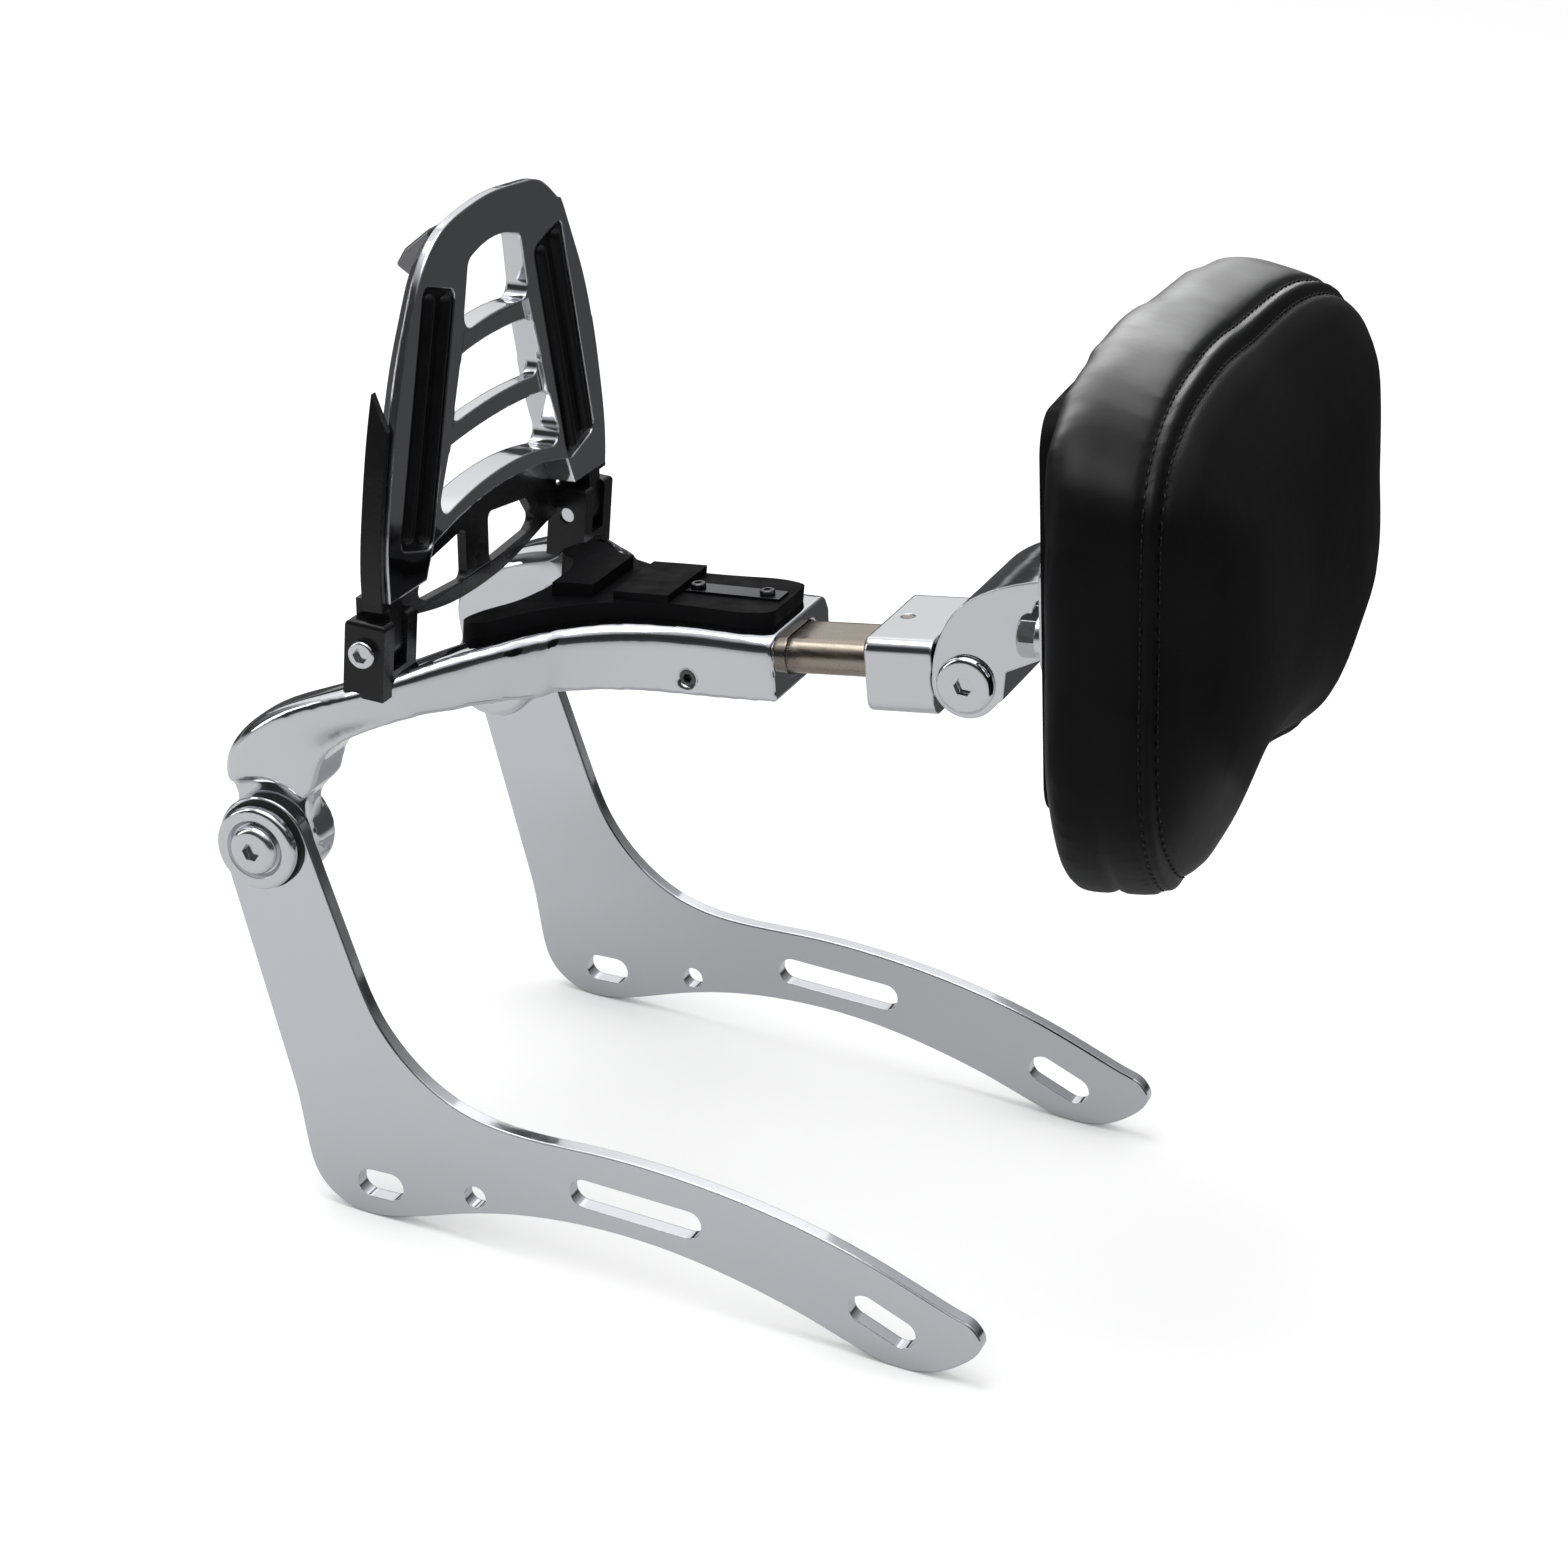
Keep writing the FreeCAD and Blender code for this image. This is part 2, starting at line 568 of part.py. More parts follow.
pad_half = [(0, 90), (52, 89), (94, 82.5), (122, 65.5), (130.5, 20), (130.5, -40), (107, -74), (81, -88),
            (56, -86), (29, -81.5), (0, -79.5)]
pad_round = pad_half + [(-x, y) for x, y in pad_half[-2:0:-1]]
pad_middle = V(0, 8)
along_edge = [0.0]
for (x0, y0), (x1, y1) in zip(pad_round, pad_round[1:] + pad_round[:1]):
    along_edge.append(along_edge[-1] + math.hypot(x1 - x0, y1 - y0))


def loop(points):
    """Closed smooth curve through the points, all such curves alike in their knots."""
    curve = Part.BSplineCurve()
    curve.interpolate(Points=points, PeriodicFlag=True, Parameters=along_edge)
    return curve


def wrapped(x, y, out):
    """Point of the pad, further forward the further it is from the middle."""
    return V(x, y, out + x * x / (2 * wrap_r))


widest = loop([V(x, y) for x, y in pad_round])


def pad_ring(out, inset):
    """Poles of the pad's outline at a depth, drawn in at right angles to the widest outline."""
    points = []
    for (x, y), length in zip(pad_round, along_edge):
        run = widest.tangent(length)[0]
        softer = lower_softness * abs(x) / 100 * max(0, -y - 25) / 60
        drawn = inset * (1 + softer) if inset > 0 else inset
        drawn += upper_taper * max(0, y - 30) / 60 * max(0, out - board_back) / 40
        points.append(wrapped(x + run.y * drawn, y - run.x * drawn, out))
    return loop(points).getPoles()


def shrunk(ring, share, out):
    """Poles drawn in towards the pad's middle, to close its back or front."""
    return [wrapped(p.x * share, pad_middle.y + (p.y - pad_middle.y) * share, out) for p in ring]


board_outline = Part.makeBox(board_w, board_high - board_low, tool, V(-board_w / 2, board_low, -tool / 3))
board_outline = round_edges(board_outline, board_corner, lambda e: abs(e.Length - tool) < 0.01)
board_back = boss_h + board_t
board = board_outline.common(curved_slab(boss_h, board_back))
boss = Part.makeBox(boss_w, boss_high - boss_low, tool, V(-boss_w / 2, boss_low, -tool / 3))
boss = round_edges(boss, boss_corner, lambda e: abs(e.Length - tool) < 0.01)
board = board.fuse(boss.common(curved_slab(0, boss_h + 1)))
boss_edge = boss_w - 2 * boss_corner
board = round_edges(board, 2.5,
                    lambda e: middle(e).z < 7 and abs(middle(e).x) < 40 and e.Length > boss_edge - 1)
board = board.cut(bolt_shanks)
shapes["pad_back_board"] = lean_on(board)

foam_back = board_back + foam_gap
profile = [(foam_back - 2.2, 8), (foam_back - 1.2, 1), (foam_back + 2.5, -1.2), (foam_back + 10, -0.3),
           (foam_back + 20, 0.2), (foam_back + 30, -0.6), (foam_back + 35, 0.8), (foam_back + 38.5, 3.5),
           (foam_back + 43, 7.5), (foam_back + 49, 13), (foam_back + 55, 22), (pad_deep - 2, 36)]
rings = [pad_ring(out, inset) for out, inset in profile]
hub_back = [V(0, pad_middle.y, profile[0][0])] * len(rings[0])
hub_front = [V(0, pad_middle.y, pad_deep)] * len(rings[0])
near_back = shrunk(rings[0], 0.6, profile[0][0])
near_front = shrunk(rings[-1], 0.5, pad_deep - 0.4)
rings = [hub_back, near_back] + rings + [near_front, hub_front]
skin = Part.BSplineSurface()
skin_mults = [4] + [1] * (len(rings) - 4) + [4]
skin.buildFromPolesMultsKnots(rings, skin_mults, widest.getMultiplicities(), list(range(len(skin_mults))),
                              widest.getKnots(), False, True, 3, 3)
cushion = Part.Solid(Part.Shell([skin.toShape()]))
cushion = cushion.common(Part.makeCylinder(wrap_r - foam_back, 400, V(0, -200, wrap_r), V(0, 1, 0)))
shapes["pad_cushion"] = lean_on(cushion)

# Yoke cover, moulded, follows the top of the housing and both arms

cover_half = [(64.5, 0), (64.5, -12.5), (60, -cover_half_w), (26, -17.5), (8, -20), (-10, -29), (-24, -41),
              (-34, -48), (-42, -43), (-39, -33), (-31, -24), (-27, -12), (-26, 0)]
right_line = [V(x, y) for x, y in cover_half]
nose_corner = spline(right_line[1:4], V(0, -1), V(-1))
plan = [line(right_line[0], right_line[1]), nose_corner, spline(right_line[3:], V(-1), V(0, 1))]
plan_all = plan + [e.mirror(V(), Y) for e in plan]
cover_plan = Part.Face(Part.Wire(Part.__sortEdges__(plan_all))).extrude(V(0, 0, 400))


def above_yoke(low, high, x0=-78.0, x1=70.0):
    """Band that follows the yoke's top line, between two heights over it."""
    pts = [V(p[0], 0, p[1]) for p in arm_upper[3:8]] + [V(p[0], 0, p[1]) for p in body_upper[1:]]
    low_pts = [p + up * low for p in pts]
    high_pts = [p + up * high for p in pts]
    edges = [spline(low_pts), line(low_pts[-1], high_pts[-1])]
    edges += [spline(high_pts), line(high_pts[0], low_pts[0])]
    band = Part.Face(Part.Wire(Part.__sortEdges__(edges))).translated(V(0, -half)).extrude(V(0, 2 * half))
    return band.common(Part.makeBox(x1 - x0, 2 * half, 200, V(x0, -half, 100)))


cover = above_yoke(-6, cover_h).common(cover_plan)
for x0, x1, high in cover_humps:
    hump_room = Part.makeBox(200, 2 * cover_half_w, 200, V(-100, -cover_half_w, 100))
    hump = above_yoke(0, high, x0, x1).common(hump_room)
    cover = cover.fuse(hump.common(cover_plan))
cover = cover.cut(whole_yoke)
strap = above_yoke(cover_h - strap_sunk, cover_h - strap_sunk + strap_t, strap_x0, strap_x1)
strap = strap.common(Part.makeBox(200, strap_w, 200, V(-100, -strap_w / 2, 100)))
groove = above_yoke(cover_h - strap_sunk, cover_h + 20, strap_x0 - 0.2, strap_x1 + 0.2)
groove = groove.common(Part.makeBox(200, strap_w + 0.4, 200, V(-100, -strap_w / 2 - 0.2, 100)))
cover = cover.cut(groove)
top_line = spline([V(q[0], 0, q[1]) for q in body_upper])


def over_top(x, y, height):
    """Point over the housing's top line at x."""
    low, high = top_line.FirstParameter, top_line.LastParameter
    for _ in range(40):
        mid = (low + high) / 2
        if top_line.valueAt(mid).x < x:
            low = mid
        else:
            high = mid
    return top_line.valueAt(low) + up * height + V(0, y)


screws = []
seat = cover_h - strap_sunk + strap_t
for x in (strap_x0 + 5, strap_x1 - 5):
    base = over_top(x, 0, seat + 0.12)
    head = rod(strap_screw_d, 1.6, base, up)
    head = round_edges(head, 0.7, lambda e: (middle(e) - base).dot(up) > 1.5)
    shank = rod(3, seat + 4, base - up * (seat + 4), up)
    strap = strap.cut(rod(3, 10, base - up * 5, up))
    cover = cover.cut(rod(3, 20, base - up * 19, up))
    shapes["yoke"] = shapes["yoke"].cut(shank)
    screws.append(head.fuse(shank).cut(hexagon(2.5, 1, base + up * 0.6, up)))
shapes["cover_strap"] = strap
shapes["cover_screws"] = Part.makeCompound(screws)
shapes["yoke_cover"] = cover

# Luggage rack, drawn in its own plane and then leaned: x across, y up from the hinge, z forward

lean = math.radians(rack_lean)
rack_up = V(-math.sin(lean), 0, math.cos(lean))
rack_out = V(math.cos(lean), 0, math.sin(lean))
hinge = V(hinge_x, 0, hinge_z)


def lean_back(shape):
    return set_in(shape, hinge, rack_up, rack_out)


def both_sides(points):
    """Points of a right half and their mirror images, in order across the middle."""
    return points + [V(-p.x, p.y, p.z) for p in points[::-1] if abs(p.x) > 0.01]


foot_out = V(-87, rack_foot)
foot_in = V(-60, rack_foot)
shoulder = V(-60.5, rack_apex - 25.5)
rail_out = [foot_out, V(-87.3, 30), V(-84.3, 50), V(-79.8, 70), V(-70, 98), shoulder]
crown_out = [shoulder, V(-52, rack_apex - 13.5), V(-41, rack_apex - 6)]
crown_out += [V(-22, rack_apex - 1.5), V(0, rack_apex)]
rail_run = V(9.5, 18)
rail_fall = V(9.5, -18)
arch = both_sides([V(-54, 28), V(-28, 33), V(0, 34.6)])


def rack_outline(inset):
    """Outline of the rack, its rails and crown drawn in by the inset."""
    rail = [V(q.x + inset, q.y) for q in rail_out]
    crown = [V(q.x * (1 + inset / shoulder.x), q.y - inset * (q.y - shoulder.y) / 40) for q in crown_out]
    crown = both_sides(crown)
    fall = [V(-q.x, q.y) for q in rail[::-1]]
    return [spline(rail, V(0, 1), rail_run),
            spline(crown, rail_run, rail_fall),
            spline(fall, rail_fall, V(0, -1)),
            line(fall[-1], V(-foot_in.x, foot_in.y)), line(V(-foot_in.x, foot_in.y), arch[-1]),
            spline(arch[::-1]), line(arch[0], foot_in), line(foot_in, rail[0])]


outline = rack_outline(0)
rack = upright(outline, rack_face - rack_edge_t, rack_face)
fore_wire = Part.Wire(outline).translated(V(0, 0, rack_face - rack_edge_t))
back_wire = Part.Wire(rack_outline(rack_bevel)).translated(V(0, 0, rack_face - rack_t_foot))
rack = rack.fuse(Part.makeLoft([back_wire, fore_wire], True, True))
wedge = [V(-100, 0, rack_face), V(-100, 150, rack_face), V(-100, 150, rack_face - rack_t_top),
         V(-100, 48, rack_face - rack_t_foot), V(-100, 0, rack_face - rack_t_foot)]
rack = rack.common(Part.Face(Part.makePolygon(wedge + wedge[:1])).extrude(V(200)))


def window(low, high, low_w, high_w, low_bow, high_bow):
    """Opening between two rungs, its upper and lower edges bowed upwards."""
    lower = [V(-low_w, low), V(0, low + low_bow), V(low_w, low)]
    upper = [V(high_w, high), V(0, high + high_bow), V(-high_w, high)]
    edges = [arc(*lower), line(lower[-1], upper[0]), arc(*upper), line(upper[-1], lower[0])]
    hole = upright(edges, -tool / 2, tool / 2)
    return round_edges(hole, window_round, lambda e: e.Length > tool - 1)


windows = [window(96.5, 121.5, 26.5, 20.5, 2, 4), window(65.5, 88.5, 37, 28.5, 2, 2),
           window(34.0, 58.5, 51.5, 39.5, 6.5, 2)]
field = [V(-39, 58), V(39, 58), V(25, 97), V(-25, 97)]
rung_field = [line(a, b) for a, b in zip(field, field[1:] + field[:1])]
rack = rack.cut(upright(rung_field, rack_face - rung_back, rack_face + 1))
rack = rack.cut(upright(rung_field, -20, rack_face - rung_back - rung_t))
for hole in windows:
    rack = rack.cut(hole)

# Rubber strip in each rail: a flat web with two round ribs, let into a channel

strip_top = V(-42, 117)
strip_foot = V(-66.5, 30)
strip_dir = (strip_top - strip_foot).normalize()
strip_len = (strip_top - strip_foot).Length
strip_turn = FreeCAD.Placement(strip_foot, FreeCAD.Rotation(V(0, 1, 0), strip_dir))


def strip_slab(ease, z0, z1):
    w = strip_w / 2 + ease
    slab_box = Part.makeBox(2 * w, strip_len + 2 * ease, z1 - z0, V(-w, -ease, z0))
    slab_box = round_edges(slab_box, 4, lambda e: abs(e.Length - z1 + z0) < 0.01)
    slab_box.Placement = strip_turn
    return slab_box


channel_z = rack_face - channel_deep
channel = strip_slab(strip_side_gap, channel_z, rack_face + 1)
rack = rack.cut([channel, channel.mirror(V(), V(1))])
strip = strip_slab(0, channel_z, channel_z + strip_web_t)
rib_r = strip_rib_w / 2
rib_z = rack_face + strip_rise - rib_r
for side in (-1, 1):
    foot = V(side * strip_rib_at, rib_r + 1.5, rib_z)
    rib = rod(strip_rib_w, strip_len - 2 * rib_r - 3, foot, V(0, 1))
    head = foot + V(0, strip_len - 2 * rib_r - 3)
    rib = rib.fuse([Part.makeSphere(rib_r, foot), Part.makeSphere(rib_r, head)])
    rib.Placement = strip_turn
    strip = strip.fuse(rib.common(strip_slab(0, channel_z, rack_face + 20)))
shapes["rack_rubber_strips"] = lean_back(Part.makeCompound([strip, strip.mirror(V(), V(1))]))

# Hinge bracket behind the rack's foot: a cross plate and a bar outside each rail

plate_front = rack_face - rack_t_foot
low_line = both_sides([V(-notch_x, 2.2), V(-50, -0.6), V(-26, -5), V(0, -6.4)])
high_line = both_sides([V(-hinge_tongue_in - 3, 24), V(-72, 34.5), V(-62, 34), V(-51, 28.5),
                        V(-28, 31), V(0, 33)])
left_end = [high_line[0], V(high_line[0].x, notch_y), V(-notch_x, notch_y), low_line[0]]
right_end = [V(-q.x, q.y) for q in left_end[::-1]]
bracket_edges = [spline(low_line), spline(high_line[::-1])]
for ends in (left_end, right_end):
    bracket_edges += [line(ends[i], ends[i + 1]) for i in range(3)]
bracket_edges = Part.__sortEdges__(bracket_edges)
cross = upright(bracket_edges, plate_front - bracket_t, plate_front)
for side in (-1, 1):
    near = [V(side * 9, -0.2), V(side * 9, 19.5), V(side * 40, 15.5), V(side * 48, 5.5), V(side * 42, 2)]
    hole = Part.Face(Part.makePolygon(near + near[:1])).extrude(V(0, 0, tool))
    hole = hole.translated(V(0, 0, -tool / 2))
    cross = cross.cut(round_edges(hole, 3, lambda e: abs(e.Length - tool) < 0.01))
tongue_out = hinge_tongue_in + hinge_tongue_w
foot_bar = Part.makeBox(hinge_tongue_w, rack_foot + 0.01, 2 * hinge_tongue_r,
                        V(-tongue_out, 0, -hinge_tongue_r))
foot_bar = foot_bar.fuse(rod(2 * hinge_tongue_r, hinge_tongue_w, V(-tongue_out, 0, 0), V(1)))
bar_in = [V(q.x - 0.3, q.y) for q in rail_out[:5]]
bar_out = [V(q.x - side_bar_t, q.y) for q in bar_in]
bar_edges = [spline(bar_in), line(bar_in[-1], bar_out[-1])]
bar_edges += [spline(bar_out[::-1]), line(bar_out[0], bar_in[0])]
bar = upright(bar_edges, side_bar_back, hinge_tongue_r)
bar_foot = [V(-tongue_out, 2), V(-hinge_tongue_in, 2), V(-hinge_tongue_in, rack_foot - 0.3),
            V(bar_in[0].x, rack_foot - 0.3), V(bar_in[0].x, rack_foot + 4), V(bar_out[0].x, rack_foot + 4),
            V(bar_out[0].x, notch_y), V(-tongue_out, notch_y)]
foot_face = Part.Face(Part.makePolygon(bar_foot + bar_foot[:1]))
foot_plate = foot_face.translated(V(0, 0, side_bar_back)).extrude(V(0, 0, hinge_tongue_r - side_bar_back))
bar = bar.fuse(foot_plate)
bar_tip = [V(-100, -10, side_bar_back), V(-100, side_bar_top, side_bar_back),
           V(-100, side_bar_top - 12, hinge_tongue_r), V(-100, -10, hinge_tongue_r)]
bar = bar.common(Part.Face(Part.makePolygon(bar_tip + bar_tip[:1])).extrude(V(200)))
bar = bar.fuse(foot_bar)
bar = bar.cut(upright(outline, plate_front, rack_face + 1))
hinge_bracket = cross.fuse([bar, bar.mirror(V(), V(1))])
hinge_bracket = hinge_bracket.cut(rod(hinge_screw_d + 2 * running_gap, 240, V(-120, 0, 0), V(1)))
screw_points = [V(side * x, y) for side in (-1, 1) for x, y in ((71, 22), (67, 31))]
for p in screw_points:
    hole = rod(5.4, bracket_t, V(p.x, p.y, plate_front - bracket_t), V(0, 0, 1))
    hinge_bracket = hinge_bracket.cut(hole)
shapes["rack_hinge_bracket"] = lean_back(hinge_bracket)

screws = []
for p in screw_points:
    base = V(p.x, p.y, plate_front - bracket_t)
    head = rod(9.5, 2.6, base - V(0, 0, 2.6), V(0, 0, 1))
    head = round_edges(head, 1.2, lambda e: abs(middle(e).z - base.z + 2.6) < 0.01)
    shank = rod(5, bracket_t + 5, base, V(0, 0, 1))
    rack = rack.cut(rod(5, 5, base + V(0, 0, bracket_t), V(0, 0, 1)))
    screws.append(head.fuse(shank).cut(hexagon(3, 1.6, base - V(0, 0, 2.6), V(0, 0, 1))))
shapes["rack_bracket_screws"] = lean_back(Part.makeCompound(screws))

# Strap hooks on the back of the upper corners, sloping back and down to a blunt tip

hook_top = rack_apex - hook_below_apex
hook_root = rack_face - rack_t_top + 0.5
hooks = []
for side in (-1, 1):
    inner = side * hook_mid_y - hook_w / 2
    hook_side = [V(inner, hook_top, hook_root),
                 V(inner, hook_top - hook_drop * 0.45, hook_root - hook_reach * 0.72),
                 V(inner, hook_top - hook_drop * 0.8, hook_root - hook_reach),
                 V(inner, hook_top - hook_drop, hook_root - hook_reach * 0.6),
                 V(inner, hook_top - hook_drop, hook_root)]
    hook = Part.Face(Part.makePolygon(hook_side + hook_side[:1])).extrude(V(hook_w, 0, 0))
    hook = round_edges(hook, 1.3, lambda e: middle(e).z < hook_root - 0.5)
    peg = rod(hook_peg_d, 4, V(side * hook_mid_y, hook_top - hook_drop * 0.5, hook_root - 2), V(0, 0, 1))
    hooks.append(hook.cut(rack).fuse(peg))
    rack = rack.cut(peg)
shapes["strap_hooks"] = lean_back(Part.makeCompound(hooks))
shapes["luggage_rack"] = lean_back(rack)

# Rack hinge: a clevis on each arm and a socket-head screw through it

block_y = -hinge_block_y - hinge_block_w / 2
clevis = Part.makeBox(hinge_block_l, hinge_block_w, 28,
                      V(hinge_x - hinge_block_l / 2, block_y, hinge_z - 17))
clevis = round_edges(clevis, 2, lambda e: abs(middle(e).z - hinge_z - 11) < 0.01)
gap_y = -tongue_out - hinge_tongue_gap
slot_foot = V(hinge_x - tool / 2, gap_y, hinge_z - hinge_tongue_r - 1.2)
clevis_slot = Part.makeBox(tool, hinge_tongue_w + 2 * hinge_tongue_gap, tool, slot_foot)
clevis = clevis.cut(clevis_slot).cut(whole_yoke)
clevis = clevis.cut(rod(hinge_screw_d + 0.04, 60, V(hinge_x, -120, hinge_z), Y))
clevis = sorted(clevis.Solids, key=lambda s: s.Volume)[-1]
shapes["rack_hinge_blocks"] = pair(clevis)
hscrew = rod(hinge_screw_d, hinge_block_w - 1, V(hinge_x, block_y, hinge_z), Y)
hhead = rod(hinge_head_d, hinge_head_h, V(hinge_x, block_y - hinge_head_h, hinge_z), Y)
hhead = round_edges(hhead, 1, lambda e: abs(middle(e).y - block_y + hinge_head_h) < 0.01)
hscrew = hscrew.fuse(hhead).cut(hexagon(5, 2, V(hinge_x, block_y - hinge_head_h, hinge_z), Y))
shapes["rack_hinge_screws"] = pair(hscrew)

os.makedirs("parts", exist_ok=True)
for name, shape in shapes.items():
    shape.exportStep("parts/" + name + ".step")
    print(name, shape.isValid(), len(shape.Solids), round(shape.Volume / 1000, 1))
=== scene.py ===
import bpy
import json
import math
import bmesh
from mathutils import Vector, Matrix, noise

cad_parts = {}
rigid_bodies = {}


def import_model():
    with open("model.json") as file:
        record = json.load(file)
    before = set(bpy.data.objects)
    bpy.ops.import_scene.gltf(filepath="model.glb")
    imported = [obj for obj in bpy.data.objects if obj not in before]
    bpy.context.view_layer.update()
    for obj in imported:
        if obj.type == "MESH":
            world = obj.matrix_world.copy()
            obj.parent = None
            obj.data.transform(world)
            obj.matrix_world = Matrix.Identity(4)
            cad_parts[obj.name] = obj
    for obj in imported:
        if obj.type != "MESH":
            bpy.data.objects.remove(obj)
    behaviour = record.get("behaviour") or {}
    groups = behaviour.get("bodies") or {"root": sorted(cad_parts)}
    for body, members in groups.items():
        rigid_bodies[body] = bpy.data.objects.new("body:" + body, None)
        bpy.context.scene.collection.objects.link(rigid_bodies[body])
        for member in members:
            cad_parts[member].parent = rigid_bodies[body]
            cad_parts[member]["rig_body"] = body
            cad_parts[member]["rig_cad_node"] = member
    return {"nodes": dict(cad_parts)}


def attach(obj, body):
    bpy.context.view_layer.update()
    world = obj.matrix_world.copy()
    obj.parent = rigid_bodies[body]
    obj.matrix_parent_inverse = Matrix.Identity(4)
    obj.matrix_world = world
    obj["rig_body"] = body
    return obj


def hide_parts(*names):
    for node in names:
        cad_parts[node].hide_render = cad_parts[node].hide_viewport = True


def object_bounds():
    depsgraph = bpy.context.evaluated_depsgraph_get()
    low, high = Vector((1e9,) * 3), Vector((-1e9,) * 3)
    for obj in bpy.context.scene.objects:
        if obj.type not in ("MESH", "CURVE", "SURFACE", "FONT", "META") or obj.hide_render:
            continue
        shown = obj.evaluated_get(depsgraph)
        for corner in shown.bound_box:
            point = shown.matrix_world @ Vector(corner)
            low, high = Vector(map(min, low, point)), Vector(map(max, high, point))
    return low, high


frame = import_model()
cad_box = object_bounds()
nodes = frame["nodes"]

# Side plates. Two flat bars of 6 mm steel, cut to outline, deburred,
# polished and plated bright. The even grey they show is the floor's painted reflection colour.
# They drop over docking bushes on the motorcycle's struts.
bright_plate_colour = (0.66, 0.675, 0.70, 1.0)


def nodes_of(name):
    """A new material's nodes and links, and its shader."""
    material = bpy.data.materials.new(name)
    material.use_nodes = True
    tree = material.node_tree
    return material, tree.nodes, tree.links, tree.nodes["Principled BSDF"]


def spread_of(n, link, grain, low, high, detail=3.0):
    """Fine noise fixed to the metal, spread between two values."""
    place = n.new("ShaderNodeTexCoord")
    speckle = n.new("ShaderNodeTexNoise")
    speckle.inputs["Scale"].default_value = grain
    speckle.inputs["Detail"].default_value = detail
    link.new(place.outputs["Object"], speckle.inputs["Vector"])
    spread = n.new("ShaderNodeMapRange")
    spread.inputs["From Min"].default_value = 0.3
    spread.inputs["From Max"].default_value = 0.7
    spread.inputs["To Min"].default_value = low
    spread.inputs["To Max"].default_value = high
    link.new(speckle.outputs["Fac"], spread.inputs["Value"])
    return speckle, spread


def bright_metal(name, colour, rough, ripple, ripple_grain, edge):
    """Plated or polished metal: a mirror with faint haze, a little ripple and worn-soft edges."""
    material, n, link, shader = nodes_of(name)
    shader.inputs["Base Color"].default_value = colour
    shader.inputs["Metallic"].default_value = 1.0
    haze, haze_spread = spread_of(n, link, grain=45.0, low=rough * 0.6, high=rough * 1.5)
    link.new(haze_spread.outputs["Result"], shader.inputs["Roughness"])
    soft_edge = n.new("ShaderNodeBevel")
    soft_edge.samples = 6
    soft_edge.inputs["Radius"].default_value = edge
    wave, wave_spread = spread_of(n, link, ripple_grain, low=0.0, high=1.0, detail=2.0)
    bump = n.new("ShaderNodeBump")
    bump.inputs["Strength"].default_value = 1.0
    bump.inputs["Distance"].default_value = ripple
    link.new(wave_spread.outputs["Result"], bump.inputs["Height"])
    link.new(soft_edge.outputs["Normal"], bump.inputs["Normal"])
    link.new(bump.outputs["Normal"], shader.inputs["Normal"])
    return material


def dress(material, *names):
    """These pieces get the material on every face."""
    for name in names:
        piece = nodes[name]
        piece.data.materials.clear()
        piece.data.materials.append(material)


polished_plate = bright_metal("polished_plate", bright_plate_colour,
                              rough=0.09, ripple=0.00002, ripple_grain=60.0, edge=0.0006)
dress(polished_plate, "right_side_plate", "left_side_plate")

# Arm pivots. On each plate a domed socket-head bolt passes a turned cap
# washer, a black nylon friction washer, the arm's eye and a plain washer,
# and takes a lock nut inside. Everything bright is plated steel.
bright_screw_colour = (0.66, 0.67, 0.69, 1.0)
bright_screw = bright_metal("bright_screw", bright_screw_colour,
                            rough=0.14, ripple=0.00003, ripple_grain=250.0, edge=0.0003)
turned_washer = bright_metal("turned_washer", bright_screw_colour,
                             rough=0.10, ripple=0.00002, ripple_grain=180.0, edge=0.0004)
dress(bright_screw, "pivot_bolts", "pivot_lock_nuts", "pivot_inner_washers")
dress(turned_washer, "pivot_cap_washers")

nylon_colour = (0.006, 0.006, 0.0065, 1.0)


def dull_black(name, colour, rough, pit, pit_grain, gloss):
    """A black moulded, painted or rubbery finish with fine tooth."""
    material, n, link, shader = nodes_of(name)
    shader.inputs["Base Color"].default_value = colour
    shader.inputs["Specular IOR Level"].default_value = gloss
    roughest = min(1.0, rough * 1.25)
    tooth, tooth_spread = spread_of(n, link, grain=120.0, low=rough * 0.8, high=roughest)
    link.new(tooth_spread.outputs["Result"], shader.inputs["Roughness"])
    pits, pits_spread = spread_of(n, link, pit_grain, low=0.0, high=1.0, detail=4.0)
    bump = n.new("ShaderNodeBump")
    bump.inputs["Strength"].default_value = 0.6
    bump.inputs["Distance"].default_value = pit
    link.new(pits_spread.outputs["Result"], bump.inputs["Height"])
    link.new(bump.outputs["Normal"], shader.inputs["Normal"])
    return material


nylon = dull_black("nylon", nylon_colour, rough=0.55, pit=0.00004, pit_grain=900.0, gloss=0.3)
dress(nylon, "pivot_friction_washers")

bronze_colour = (0.45, 0.27, 0.11, 1.0)
bronze = bright_metal("bearing_bronze", bronze_colour,
                      rough=0.28, ripple=0.00002, ripple_grain=400.0, edge=0.0002)
dress(bronze, "pivot_bushes")

# Yoke. One casting, two arms that run into the housing for the post. It is
# ground and buffed by hand before plating, which rounds its corners most on
# the arms and leaves a slight ripple in the mirror.
casting_colour = (0.66, 0.67, 0.69, 1.0)
casting_grid = 0.0012
buffing = 16
buffed_least = 0.25
housing_from, housing_full = 0.035, 0.06
polished_casting = bright_metal("polished_casting", casting_colour,
                                rough=0.04, ripple=0.00010, ripple_grain=30.0, edge=0.0008)


